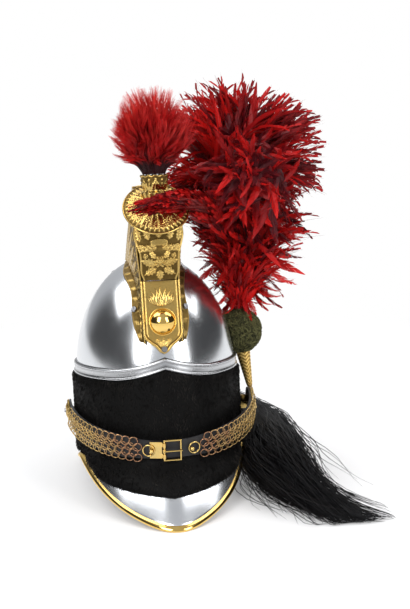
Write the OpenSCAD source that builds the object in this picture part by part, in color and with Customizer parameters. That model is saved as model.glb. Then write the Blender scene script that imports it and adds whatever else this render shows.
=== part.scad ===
// Heavy cavalry helmet: steel skull, brass crest, red tuft, side plume and chin strap.
// Millimetres. The origin is the middle of the head opening, the front faces -Y, and
// the helmet leans back a little, as it stands on its visor and its neck guard.

/* [Skull] */
// Half width of the skull
skull_a = 92; // [86:1:98]
// Half length of the skull
skull_b = 112; // [106:1:118]
// Height of the dome above the rim
dome_h = 130; // [120:1:138]
// Height of the rim above the head opening
rim_z = 88; // [80:1:94]
// Thickness of the steel
steel_t = 1.2; // [0.8:0.1:1.8]
// Lean of the standing helmet, in degrees
lean = 6.5; // [5:0.5:8]

/* [Rim band] */
// How far the band stands proud of the skull
band_t = 2.4; // [1.6:0.1:3]
// Height of the band
band_h = 13; // [10:0.5:16]
// Rise of the pointed arch at the front
accolade_h = 12; // [6:1:16]

/* [Turban] */
// Thickness of the fur
fur_t = 5; // [4:0.5:7]
// Reach of the pointed tongue over the visor
tongue_l = 46; // [34:1:54]

/* [Visor and neck guard] */
// Reach of the visor's tip beyond the turban
visor_reach = 60; // [52:0.5:64]
// Drop of the visor's tip below the head opening
visor_drop = 61; // [54:1:66]
// Drop of the visor's edge for each millimetre forward
visor_fall = 0.42; // [0.36:0.01:0.46]
// Reach of the neck guard beyond the turban
neck_reach = 34; // [26:1:38]
// Width of the brass edging
trim_w = 5.5; // [4:0.5:7]
// Thickness of the brass edging
trim_t = 4; // [3.4:0.2:5]
// Radius of the rivets' shanks
rivet_r = 1.4; // [1:0.1:1.8]

/* [Liner] */
// Thickness of the leather
leather_t = 2; // [1.4:0.1:2.6]
// Height of the head band
band_in_h = 38; // [30:1:44]
// Number of leather lobes
lobe_n = 8; // [6:1:10]

/* [Crest] */
// Half width of the front plate
plate_w = 22; // [19:0.5:24]
// Half width of the crest's flanges on the skull
flange_w = 32; // [29:0.5:36]
// Half width of the crest's head
head_w = 27; // [25:0.5:29]
// Thickness of the stamped brass
brass_t = 1.2; // [0.8:0.1:1.6]
// Radius of the ball boss
boss_r = 14.5; // [12:0.5:16]
// Number of flame tongues
flame_n = 9; // [7:2:11]
// Radius of the disc
disc_r = 36; // [32:0.5:38]
// Tilt of the disc, in degrees
disc_tilt = 47; // [42:1:50]
// Number of leaves round the disc
disc_leaf_n = 20; // [12:1:24]
// Outer radius of the tuft's socket at its mouth
socket_r = 15; // [14:0.5:17]

/* [Tuft] */
// Radius of the ball of bristles
tuft_r = 45; // [38:1:48]
// Number of bristles
tuft_n = 360; // [300:10:420]
// Radius of a bristle at its root
bristle_r = 0.45; // [0.35:0.05:0.5]
// Radius of the tuft's spindle
tuft_pin_r = 4; // [3:0.5:5]

/* [Plume] */
// Radius of the wool ball
wool_r = 25.5; // [23:0.5:27]
// Radius of the stem at the wool ball
stem_r = 8.2; // [7:0.2:9]
// Length of the stem below the wool ball
stem_l = 46; // [40:1:50]
// Radius of the plume's spindle
plume_pin_r = 2; // [1.6:0.1:2.4]
// How far the feathers reach, as a share of their usual length
feather_reach = 1; // [0.8:0.05:1.05]

/* [Chin strap] */
// Width of the leather
strap_w = 26; // [22:1:28]
// Radius of a ring of the mesh, to the middle of its wire
ring_r = 4.7; // [4.5:0.1:5]
// Radius of the mesh's wire
wire_r = 0.5; // [0.45:0.05:0.6]
// Radius of a rosette
rosette_r = 13; // [11:0.5:15]
// Width of the buckle's frame, across the strap
buckle_w = 25; // [24:0.5:28]

/* [Clearances] */
// Gap between curved faces that lie on each other
lay_gap = 0.3; // [0.2:0.05:0.5]
// Gap round a pin that turns or slides, on the radius
run_gap = 0.05; // [0.03:0.01:0.1]

/* [Hidden] */

$fn = 48;
hair_black = "#141414";
fur_black = "#1b1a19";
steel = "#c9ced3";
brass = "#c59a3c";
old_brass = "#a3772f";
leather_black = "#26262a";
feather_red = "#8e0d12";
wool_green = "#2c3018";

// Shared curves and solids
function unit(v) = v / norm(v);
function mix(p, q, k) = p * (1 - k) + q * k;
// Level direction from the middle, by its angle from the front
function ray(ang) = [sin(ang), -cos(ang), 0];
// Distance from the middle to an oval round the skull, h outside its wall
function skull_r(ang, h) = 1 / sqrt(pow(sin(ang) / (skull_a + h), 2)
    + pow(cos(ang) / (skull_b + h), 2));
// How much narrower the dome is at a height than at the rim
function dome_share(z) = z <= rim_z ? 1 : sqrt(1 - pow((z - rim_z) / dome_h, 2));
// Point of the skull's wall or dome by angle and height
function wall_pt(ang, z, h) = ray(ang) * skull_r(ang, h) * dome_share(z) + [0, 0, z];
// Point of the dome by its distance from the middle plane and its angle over the top
function dome_pt(x, up, h) = let (f = sqrt(1 - pow(x / (skull_a + h), 2)))
    [x, -(skull_b + h) * f * cos(up), rim_z + (dome_h + h) * f * sin(up)];
function dome_out(p) = unit([p.x / pow(skull_a, 2), p.y / pow(skull_b, 2),
    (p.z - rim_z) / pow(dome_h, 2)]);

// Closed surface over rings of points; looped joins the last ring to the first one, and
// folded is for rings that run out along one face of a sheet and back along the other
module skin(rings, looped = false, folded = false) {
    n = len(rings[0]);
    m = len(rings);
    pts = [for (r = rings) each r];
    sides = [for (i = [0 : looped ? m - 1 : m - 2], j = [0 : n - 1])
        let (k = (i + 1) % m, l = (j + 1) % n)
        each [[i * n + j, i * n + l, k * n + l], [i * n + j, k * n + l, k * n + j]]];
    last = (m - 1) * n;
    fan = [for (j = [1 : n - 2]) [0, j, j + 1]];
    strip = [for (j = [0 : n / 2 - 2])
        each [[j, j + 1, n - 2 - j], [j, n - 2 - j, n - 1 - j]]];
    caps = looped ? [] : [for (f = folded ? strip : fan)
        each [[f[0], f[2], f[1]], [last + f[0], last + f[1], last + f[2]]]];
    solid(pts, concat(sides, caps));
}

// Closed triangle mesh, turned so that its faces point outwards
module solid(pts, tris) {
    six_vol = [for (f = tris) pts[f[0]] * cross(pts[f[1]], pts[f[2]])] * [for (f = tris) 1];
    polyhedron(pts, six_vol < 0 ? tris : [for (f = tris) [f[0], f[2], f[1]]]);
}

// Puts children at a point with their Z along a direction
module aim(p, d) {
    translate(p) rotate([0, acos(d.z / norm(d)), atan2(d.y, d.x)]) children();
}

// Turns the helmet's own frame to the standing one
module stand() { rotate([-lean, 0, 0]) children(); }
function upright(p) = [p.x, p.y * cos(lean) + p.z * sin(lean), stand_z(p)];
// Height above the head opening, once the helmet stands
function stand_z(p) = -p.y * sin(lean) + p.z * cos(lean);

// Skull, rim band and turban
skull_steps = 44;
dome_ups = [88, 78, 67, 56, 46, 36, 27, 18, 9, 0];
function skull_ring_pt(ang, up, h) =
    ray(ang) * skull_r(ang, h) * cos(up) + [0, 0, rim_z + (dome_h + h) * sin(up)];
function skull_ring(up, h) = [for (i = [0 : skull_steps - 1])
    let (ang = i * 360 / skull_steps)
    skull_ring_pt(ang, up, h)];
function wall_ring(z, h) = [for (i = [0 : skull_steps - 1])
    wall_pt(i * 360 / skull_steps, z, h)];

module skull_shell() {
    color(steel) stand() difference() {
        skin(concat([for (u = dome_ups) skull_ring(u, 0)],
            [wall_ring(0, 0), wall_ring(0, -steel_t)],
            [for (i = [len(dome_ups) - 1 : -1 : 0]) skull_ring(dome_ups[i], -steel_t)]));
        for (s = crest_screw_pts)
            aim(s, dome_out(s)) translate([0, 0, -6]) cylinder(r = screw_r + run_gap, h = 12);
        for (s = [-1, 1])
            translate([s * skull_a, hinge_y, hinge_z]) rotate([0, 90, 0])
                cylinder(r = pivot_r + run_gap, h = 30, center = true);
        for (a = peak_rivet_angs) rivet_way(a);
    }
}

// Foot of the band, which rises to a pointed arch at the front
band_foot = 1;
accolade_ang = 32;
function arch(ang) = accolade_h * pow(max(0, 1 - abs(ang) / accolade_ang), 1.8);
function front_ang(i, n) = i * 360 / n - 180;
band_bead = 1;

module rim_band() {
    steps = 72;
    shape = [[lay_gap, 0], [band_t + band_bead * 0.6, 0], [band_t + band_bead, 1.5],
        [band_t, 3.2], [band_t, band_h - 4], [band_t + band_bead * 0.8, band_h - 2.4],
        [band_t * 0.7, band_h - 0.6], [lay_gap, band_h]];
    color(steel) stand() skin([for (i = [0 : steps - 1])
        let (ang = front_ang(i, steps), z = rim_z + band_foot + arch(ang))
        [for (p = shape) wall_pt(ang, z + p[1], p[0])]], looped = true);
}

// Peaks: the visor in front and the neck guard behind
visor_span = 74;
neck_span = 66;
peak_lip_h = 11;
lip_gap = 2 * lay_gap;
peak_gap = 0.4;
tip_round = 6;
visor_tip_r = skull_r(0, fur_t) + visor_reach;
function visor_edge(ang) =
    let (q = (sqrt(ang * ang + tip_round * tip_round) - tip_round) / visor_span,
        r = skull_r(ang, fur_t) + 1.5 + (visor_reach - 1.5) * pow(max(0, 1 - q), 2.3),
        z = -visor_drop + visor_fall * (visor_tip_r - r * cos(ang)))
    ray(ang) * r + [0, 0, min(-3.2, z)];
// The rest faces are cut this deep into the edging
rest_cut = 0.6;
floor_z = stand_z(visor_edge(0)) - trim_t / 2 + rest_cut;
function neck_edge(ang) =
    let (r = skull_r(ang, fur_t) + 1.5
            + (neck_reach - 1.5) * (1 - pow(abs(ang) / neck_span, 2.4)),
        rise = 38 * pow(max(0, abs(ang) - 20) / (neck_span - 20), 1.4),
        y = r * cos(ang))
    [r * sin(ang), y, min(-3.2, (floor_z - rest_cut + trim_t / 2 + y * sin(lean)) / cos(lean)
        + rise)];
function peak_edge(ang, front) = front ? visor_edge(ang) : neck_edge(ang);
function peak_ray(ang, front) = front ? ray(ang) : [sin(ang), cos(ang), 0];
// Upper face of a peak, from the skull's foot (k = 0) to the edge (k = 1)
function peak_pt(ang, k, front, h) =
    let (foot = peak_ray(ang, front) * skull_r(ang, -steel_t - peak_gap) + [0, 0, -peak_gap],
        edge = peak_edge(ang, front),
        along = unit(edge - foot),
        side = unit(cross(along, peak_ray(ang + 90, front))),
        out = side.z < 0 ? -side : side)
    mix(foot, edge, k) + out * (h + norm(edge - foot) * 0.05 * sin(180 * k));
peak_ks = [0.06, 0.3, 0.55, 0.8, 1];
function peak_station(ang, front) =
    let (inner = skull_r(ang, -steel_t - lip_gap), r = peak_ray(ang, front))
    concat([r * inner + [0, 0, -peak_gap], r * inner + [0, 0, peak_lip_h],
            r * (inner - steel_t) + [0, 0, peak_lip_h], r * (inner - steel_t) + [0, 0, -steel_t]],
        [for (i = [0 : len(peak_ks) - 1]) peak_pt(ang, peak_ks[i], front, -steel_t)],
        [for (i = [len(peak_ks) - 1 : -1 : 0]) peak_pt(ang, peak_ks[i], front, 0)]);
module peak(span, steps, front) {
    skin([for (i = [0 : steps]) peak_station((2 * i / steps - 1) * span, front)]);
}
// Folded edging: a U that grips the peak's edge
module peak_trim(span, steps, front) {
    w = trim_w;
    t = trim_t / 2;
    slot = steel_t / 2 + 0.45;
    shape = [[-w, slot], [-w, t * 0.8], [-w / 2, t], [0.8, t * 0.85], [1.8, 0], [0.8, -t * 0.85],
        [-w / 2, -t], [-w, -t * 0.8], [-w, -slot], [0.2, -slot], [0.2, slot]];
    skin([for (i = [0 : steps])
        let (ang = (2 * i / steps - 1) * span,
            top = peak_pt(ang, 1, front, 0),
            low = peak_pt(ang, 1, front, -steel_t),
            back = peak_pt(ang, 0.8, front, 0),
            up = unit(top - low),
            out = unit(top - back))
        [for (p = shape) (top + low) / 2 + out * p[0] + up * p[1]]]);
}
module below_floor() {
    half = 300;
    deep = 60;
    translate([-half, -half, floor_z - deep]) cube([2 * half, 2 * half, deep]);
}

module visor_plate() {
    color(steel) stand() difference() {
        peak(visor_span, 32, true);
        for (a = visor_rivet_angs) rivet_way(a);
    }
}
module visor_trim() {
    color(brass) difference() {
        stand() peak_trim(visor_span, 32, true);
        below_floor();
    }
}
module neck_guard_plate() {
    color(steel) stand() difference() {
        peak(neck_span, 24, false);
        for (a = neck_rivet_angs) rivet_way(180 - a);
    }
}
module neck_guard_trim() {
    color(brass) difference() {
        stand() peak_trim(neck_span, 24, false);
        below_floor();
    }
}

// Rivets through the skull's wall and the lip of each peak
visor_rivet_angs = [-56, -28, 0, 28, 56];
neck_rivet_angs = [-48, 0, 48];
peak_rivet_angs = concat(visor_rivet_angs, [for (a = neck_rivet_angs) 180 - a]);
rivet_z = 6;
rivet_head_r = 2.6;
rivet_head_t = 0.9;
// Outward direction of the skull's wall
function wall_out(a) = unit([sin(a) / pow(skull_a, 2), -cos(a) / pow(skull_b, 2), 0]);
module rivet_way(a) {
    p = ray(a) * skull_r(a, 0) + [0, 0, rivet_z];
    aim(p, wall_out(a)) translate([0, 0, -6]) cylinder(r = rivet_r + run_gap, h = 12);
}
module peak_rivet(a) {
    p = ray(a) * skull_r(a, 0) + [0, 0, rivet_z];
    grip = 2 * steel_t + lip_gap;
    aim(p, wall_out(a)) {
        translate([0, 0, -grip - lay_gap]) cylinder(r = rivet_r, h = grip + 2 * lay_gap);
        translate([0, 0, lay_gap]) cylinder(r = rivet_head_r, h = rivet_head_t);
        translate([0, 0, -grip - lay_gap - rivet_head_t])
            cylinder(r = rivet_head_r, h = rivet_head_t);
    }
}
module visor_rivets() {
    color(steel) stand() for (a = visor_rivet_angs) peak_rivet(a);
}
module neck_guard_rivets() {
    color(steel) stand() for (a = neck_rivet_angs) peak_rivet(180 - a);
}

// Fur turban: a sleeve on the skull's wall, with a pointed tongue on the visor.
// Its foot stands off by the rivets' heads.
tongue_ang = 62;
function tongue(ang) = abs(ang) > tongue_ang ? 0
    : tongue_l * pow(1 - abs(ang) / tongue_ang, 0.85);
module turban() {
    steps = 72;
    color(fur_black) stand() difference() {
        skin([for (i = [0 : steps - 1])
            let (ang = front_ang(i, steps),
                top = rim_z + band_foot + arch(ang) - lay_gap,
                reach = norm(peak_pt(ang, 1, true, 0) - peak_pt(ang, 0, true, 0)),
                base = (skull_r(ang, fur_t) - skull_r(ang, -steel_t)) / reach,
                far = 1 - (trim_w + 0.6) / reach,
                k = min(far, base + tongue(ang) / reach),
                on = k > base)
            [wall_pt(ang, top, 2 * lay_gap), wall_pt(ang, top, fur_t * 0.6),
                wall_pt(ang, top - 8, fur_t), wall_pt(ang, rim_z / 2, fur_t),
                wall_pt(ang, 7, fur_t),
                on ? peak_pt(ang, mix(base, k, 0.45), true, fur_t * 0.8)
                    : wall_pt(ang, 4, fur_t),
                on ? peak_pt(ang, k, true, 1.6) : wall_pt(ang, 1.2, fur_t * 0.9),
                on ? peak_pt(ang, k, true, 2 * lay_gap) : wall_pt(ang, 0.6, fur_t * 0.8),
                on ? peak_pt(ang, mix(base, k, 0.45), true, 2 * lay_gap)
                    : wall_pt(ang, 0.4, fur_t * 0.6),
                wall_pt(ang, on ? 1 : 0.4, lay_gap + 0.8)]], looped = true);
        for (a = peak_rivet_angs)
            aim(ray(a) * skull_r(a, 0) + [0, 0, rivet_z], wall_out(a))
                cylinder(r = rivet_head_r + 0.4, h = 2 * lay_gap + rivet_head_t);
        for (s = [-1, 1])
            translate([s * skull_a, hinge_y, hinge_z]) rotate([0, 90, 0])
                cylinder(r = pivot_r + run_gap, h = 30, center = true);
    }
}

// Liner: leather head band, lobes and the cord that draws them together
lip_in = 2 * steel_t + lip_gap + lay_gap + rivet_head_t + 0.5;
liner_z = 3;
lobe_top_z = 150;
module liner_headband() {
    steps = 40;
    color("#5a3b22") stand() skin([for (i = [0 : steps - 1])
        let (ang = front_ang(i, steps))
        [for (p = [[0, 0], [0, band_in_h], [-leather_t, band_in_h], [-leather_t, 0]])
            wall_pt(ang, liner_z + p[1], p[0] - lip_in)]], looped = true);
}

// Lobes: leaves of a quarter-oval curve, from the band up to the cord's ring
lobe_steps = 6;
lobe_tip_r = 24;
lobe_z = liner_z + band_in_h - 9;
lobe_skin = 1.6;
lobe_share = 0.94;
function lobe_pt(ang, k, h) =
    let (foot = skull_r(ang, -lip_in - leather_t - 2 * lay_gap - lobe_skin),
        r = lobe_tip_r + (foot - lobe_tip_r) * cos(90 * k))
    ray(ang) * (r + h) + [0, 0, lobe_z + (lobe_top_z - lobe_z) * sin(90 * k) + h * 0.4 * k];
module lobe(mid) {
    half = 180 / lobe_n * lobe_share;
    skin([for (i = [0 : lobe_steps])
        let (k = i / lobe_steps, w = half * (1 - 0.45 * k * k))
        concat([for (s = [-1, 0, 1]) lobe_pt(mid + s * w, k, lobe_skin)],
            [for (s = [1, 0, -1]) lobe_pt(mid + s * w, k, 0)])]);
}
module liner_lobes() {
    color("#6b4528") stand() for (i = [0 : lobe_n - 1]) lobe((i + 0.5) * 360 / lobe_n);
}
module liner_cord() {
    cord_r = 1.2;
    color("#8a7a5c") stand() translate([0, 0, lobe_top_z + cord_r / 3])
        rotate_extrude() translate([lobe_tip_r - cord_r - lay_gap - 0.5, 0]) circle(r = cord_r);
}

// Crest: two stamped sides from the skull up to a curve in the middle plane
crest_low = 12;
crest_high = 164;
crest_curve = [[-110.5, 117], [-104, 152], [-97.5, 192], [-99.5, 236], [-94, 272],
    [-64, 297], [2, 288], [72, 244], [114, 160]];
crest_half = [plate_w - 1.5, plate_w - 1.5, plate_w - 1.5, head_w - 3, head_w - 2,
    head_w - 5, 15, 11, 8];
crest_flange = [flange_w - 10, flange_w - 1, flange_w - 2, flange_w + 3, flange_w - 2,
    flange_w - 5, flange_w - 8, flange_w - 12, flange_w - 17];
// Smooth curve through evenly spaced points, u from 0 to 1
function spline(pts, u) =
    let (n = len(pts) - 1, s = u * n, i = min(floor(s), n - 1), t = s - i,
        a = pts[max(i - 1, 0)], b = pts[i], c = pts[i + 1], d = pts[min(i + 2, n)])
    0.5 * (2 * b + (c - a) * t + (2 * a - 5 * b + 4 * c - d) * t * t
        + (3 * b - a - 3 * c + d) * t * t * t);
function crest_up(u) = mix(crest_low, crest_high, u);
function crest_top(u, x) = let (p = spline(crest_curve, u)) [x, p[0], p[1]];
function crest_norm(u) =
    let (t = spline(crest_curve, min(u + 0.01, 1)) - spline(crest_curve, max(u - 0.01, 0)))
    unit([0, -t[1], t[0]]);
function crest_station(u, s) =
    let (w = spline(crest_half, u), f = spline(crest_flange, u), up = crest_up(u),
        top = crest_top(u, w), bulge = 1.5,
        foot = dome_pt(w + bulge, up, lay_gap + brass_t),
        waist = mix(foot, top, 0.45) + [bulge, 0, 0])
    [for (p = [dome_pt(f, up, lay_gap), dome_pt(f, up, lay_gap + brass_t),
        dome_pt(w + 2 * bulge, up, lay_gap + brass_t + 0.6), waist, top,
        top - [brass_t, 0, 0], waist - [brass_t, 0, 0],
        dome_pt(w + 2 * bulge - brass_t, up, lay_gap)]) [s * p.x, p.y, p.z]];
crest_steps = 22;
// Share of the curve at which the sides begin, behind the plate's pointed foot
crest_from = 0.055;
module crest_side(s) {
    difference() {
        skin([for (i = [0 : crest_steps]) crest_station(mix(crest_from, 1, i / crest_steps), s)]);
        for (p = crest_screw_pts)
            aim(p, dome_out(p)) translate([0, 0, -4]) cylinder(r = screw_r + run_gap, h = 12);
    }
}
module crest_side_right() { color(old_brass) stand() crest_side(-1); }
module crest_side_left() { color(old_brass) stand() crest_side(1); }

// Top strip with gadroons, from behind the disc to the mane's clamp
strip_from = 0.66;
strip_to = 0.93;
gadroon_n = 12;
module crest_top_strip() {
    steps = gadroon_n * 4;
    color(brass) stand() skin([for (i = [0 : steps])
        let (k = i / steps, u = mix(strip_from, strip_to, k), w = spline(crest_half, u) + 1,
            n = crest_norm(u), p = crest_top(u, 0) + n * lay_gap,
            rise = brass_t + 2.2 * abs(sin(180 * gadroon_n * k)))
        [p - [w, 0, 0], p - [w, 0, 0] + n * brass_t, p - [w * 0.5, 0, 0] + n * rise,
            p + [w * 0.5, 0, 0] + n * rise, p + [w, 0, 0] + n * brass_t, p + [w, 0, 0]]]);
}

// Front plate, leaning back from its pointed tip
plate_y = -111.6;
plate_z = 118;
plate_lean = 9.5;
plate_h = 80;
plate_shape = [[0, 0], [5, 2.5], [9.5, 8], [14.5, 11.5], [plate_w - 2, 16.5], [plate_w, 21],
    [plate_w, plate_h]];
module plate_frame() {
    stand() translate([0, plate_y, plate_z]) rotate([-plate_lean, 0, 0]) rotate([90, 0, 0])
        children();
}
function mirrored(pts) = concat(pts, [for (i = [len(pts) - 1 : -1 : 1])
    [-pts[i][0], pts[i][1]]]);
bead_w = 2.8;
bead_t = 1.3;
// The plate's outline drawn in by the bead's width
plate_inner = [for (p = plate_shape)
    [max(0, p[0] - bead_w * (p[1] < 21 ? 0.8 : 1)), p[1] + (p[1] < plate_h ? bead_w : 1)]];
module crest_front_plate() {
    color(brass) difference() {
        plate_frame() union() {
            linear_extrude(brass_t) polygon(mirrored(plate_shape));
            linear_extrude(brass_t + bead_t) difference() {
                polygon(mirrored(plate_shape));
                polygon(mirrored(plate_inner));
            }
        }
        stand() aim(crest_screw_pts[0], dome_out(crest_screw_pts[0]))
            cylinder(r = screw_r + run_gap, h = 12);
    }
}

// Grenade on the plate: a ball boss with flames above it
boss_up = 35;
boss_high = 10;
boss_foot = brass_t + lay_gap;
module crest_ball_boss() {
    arc_r = (boss_r * boss_r + boss_high * boss_high) / (2 * boss_high);
    span = asin(boss_r / arc_r);
    color(brass) plate_frame() translate([0, boss_up, boss_foot]) {
        rotate_extrude() polygon(concat([[0, 0]], [for (i = [0 : 12])
            let (a = span * (1 - i / 12))
            [arc_r * sin(a), arc_r * cos(a) - arc_r + boss_high]]));
        rotate_extrude() translate([boss_r, 0.8]) circle(r = 0.8, $fn = 16);
    }
}
flame_z = boss_up + boss_r + 5.4;
flame_h = 19;
module flame(ang, high) {
    steps = 5;
    function mid(k) = [sin(360 * k) * 1.1 + sin(ang) * high * k, cos(ang * 0.8) * high * k];
    side = [for (i = [0 : steps]) let (k = i / steps) mid(k) + [2.1 * (1 - k * k) + 0.15, 0]];
    back = [for (i = [steps : -1 : 0]) let (k = i / steps) mid(k) - [2.1 * (1 - k * k) + 0.15, 0]];
    linear_extrude(1.4) polygon(concat(side, back));
}
module crest_flames() {
    half = (flame_n - 1) / 2;
    color(brass) plate_frame() translate([0, flame_z - 3, boss_foot]) {
        for (i = [-half : half])
            translate([i * 1.6, abs(i) * 0.5, 0]) flame(i * 15, flame_h * (1 - 0.09 * abs(i)));
        translate([0, 1.5, 0]) linear_extrude(1.2) square([15, 4], center = true);
    }
}

// Leafy console that bulges over the top of the plate
console_z = 198;
console_steps = 14;
console_half = [17.5, 20.5, 20.8, 21, 22, 25, 27, 26.5, 25.5];
console_out = [101.4, 103.5, 106, 109, 110, 108, 107, 107.5, 107.5];
// Height just below the disc's plane, where the console ends
function under_disc(y) = disc_z + (y - disc_y) * tan(disc_tilt) - lay_gap / cos(disc_tilt);
function console_pt(x, y, k) = [x, y, mix(console_z, under_disc(y), k)];
// A sheet bent to a channel, whose sides reach back to the crest
console_back = -100.4;
console_in = 0.96;
function console_ring(k) =
    let (w = spline(console_half, k), y = -spline(console_out, k),
        lobes = 1.3 * abs(sin(540 * k)), n = 8)
    concat([console_pt(-w, console_back, k)],
        [for (i = [0 : n]) let (q = 2 * i / n - 1)
            console_pt(q * w, y - 3.4 * (1 - q * q) - lobes * (1 - abs(q)), k)],
        [for (side = [1, console_in]) console_pt(side * w, console_back, k)],
        [for (i = [n : -1 : 0]) let (q = 2 * i / n - 1)
            console_pt(q * w * console_in, min(y + brass_t * 1.6 - 3.4 * (1 - q * q),
                console_back - 0.2), k)],
        [console_pt(-console_in * w, console_back, k)]);
module crest_console() {
    color(old_brass) stand() skin([for (i = [0 : console_steps])
        console_ring(i / console_steps)], folded = true);
}

// Disc with radiating leaves, tilted forward over the console
disc_y = -96;
disc_z = 275;
module disc_frame() { translate([0, disc_y, disc_z]) rotate([disc_tilt, 0, 0]) children(); }
module crest_disc() {
    rim = 0.9;
    color(brass) stand() difference() {
        disc_frame() {
            rotate_extrude() polygon([[0, 0], [disc_r - 1.4, 0], [disc_r - 1, -rim],
                [disc_r, -rim], [disc_r + 0.8, 0], [disc_r, rim], [disc_r - 1.2, rim],
                [disc_r * 0.82, 2.6], [disc_r * 0.6, 4.6], [disc_r * 0.4, 5.6], [0, 6]]);
            for (i = [0 : disc_leaf_n - 1]) rotate([0, 0, i * 360 / disc_leaf_n])
                translate([disc_r * 0.42, 0, 4.9]) rotate([0, 90 + 12, 0])
                cylinder(r1 = 1.2, r2 = 0.7, h = disc_r * 0.42, $fn = 16);
        }
        translate([0, socket_y, disc_z - 60])
            cylinder(r = socket_neck_r + lay_gap, h = 120);
        translate([0, socket_y, socket_z + 20])
            cylinder(r = socket_neck_r + collar_out + lay_gap, h = 60);
    }
}

// Screws of the crest: one at the plate's tip and one in each flange, with nuts inside
screw_r = 1.9;
screw_head_r = 3.4;
screw_head_t = 1.4;
tip_up = 15.2;
wing_up = 38.4;
wing_x = 28;
crest_screw_pts = [dome_pt(0, tip_up, 0), dome_pt(wing_x, wing_up, 0),
    dome_pt(-wing_x, wing_up, 0)];
tip_lift = 5.4;
screw_lifts = [tip_lift, brass_t + 3 * lay_gap, brass_t + 3 * lay_gap];
// Depth of the nuts' upper faces below the skull's outside
nut_in = steel_t + 1;
nut_t = 2;
nut_r = 3.6;
module crest_screws() {
    color("silver") stand() for (i = [0 : 2])
        aim(crest_screw_pts[i], dome_out(crest_screw_pts[i])) {
            deep = nut_in + nut_t + 0.3;
            translate([0, 0, -deep]) cylinder(r = screw_r, h = deep + screw_lifts[i] + 0.2);
            translate([0, 0, screw_lifts[i]]) difference() {
                cylinder(r1 = screw_head_r, r2 = screw_head_r * 0.8, h = screw_head_t);
                translate([-5, -0.4, screw_head_t - 0.6]) cube([10, 0.8, 1]);
            }
        }
}
module nut(r, bore, t) {
    difference() {
        cylinder(r = r, h = t, $fn = 6);
        translate([0, 0, -1]) cylinder(r = bore, h = t + 2);
    }
}
module crest_nuts() {
    color("dimgray") stand() for (p = crest_screw_pts)
        aim(p, dome_out(p)) translate([0, 0, -nut_in - nut_t])
            nut(nut_r, screw_r + run_gap, nut_t);
}

// Tuft: a flared socket, a spindle with its cup, and a ball of bristles
socket_y = -92;
socket_z = 262;
socket_h = 50;
socket_neck_r = 11.5;
// Height of the socket's collar and how far it stands out
collar_z = 29;
collar_out = 2.6;
cup_z = socket_h - 9;
cup_r = socket_r - 2.6;
module tuft_socket() {
    color(brass) stand() translate([0, socket_y, socket_z]) rotate_extrude() polygon([
        [tuft_pin_r + run_gap, 0], [socket_neck_r - 1, 0], [socket_neck_r, 2],
        [socket_neck_r, 20], [socket_neck_r + collar_out, collar_z],
        [socket_neck_r + collar_out, collar_z + 1.5], [socket_neck_r, collar_z + 4],
        [socket_neck_r, collar_z + 5], [socket_r - 0.4, cup_z - 1.5], [socket_r, socket_h],
        [socket_r - 1.4, socket_h],
        [cup_r + 0.6, cup_z], [cup_r + 0.3, cup_z - lay_gap],
        [tuft_pin_r + run_gap, cup_z - lay_gap]]);
}
module tuft_spindle() {
    color(old_brass) stand() translate([0, socket_y, socket_z]) {
        translate([0, 0, 6]) cylinder(r = tuft_pin_r, h = cup_z - 5);
        translate([0, 0, cup_z]) cylinder(r = cup_r, h = socket_h - cup_z - 1);
    }
}

// Bristles grow from the cells of a round grid, each to its own point on the ball
cell = sqrt(3.14159 * pow(cup_r, 2) / tuft_n);
grid_n = ceil(cup_r / cell);
back_t = 2;
ball_sweep = 138;
root_z = 0.5;
function bristle_tip(c) =
    let (q = min(1, norm(c) / cup_r), turn = atan2(c[1], c[0]),
        fall = acos(1 - q * q * (1 - cos(ball_sweep))),
        r = tuft_r * (1 - 0.05 * abs(sin(c[0] * 997 + c[1] * 571))))
    [r * sin(fall) * cos(turn), r * sin(fall) * sin(turn), tuft_r * 1.03 + r * cos(fall)];
function bristle_pts(c, root) =
    let (tip = bristle_tip(c), base = [c[0], c[1], root],
        mid = mix(base, tip, 0.5) + [0, 0, 3 * norm(c) / cup_r])
    concat([for (a = [-90, 30, 150]) base + bristle_r * [cos(a), sin(a), 0]],
        [for (a = [-90, 30, 150]) mid + bristle_r * 0.7 * [cos(a), sin(a), 0]], [tip]);
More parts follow.
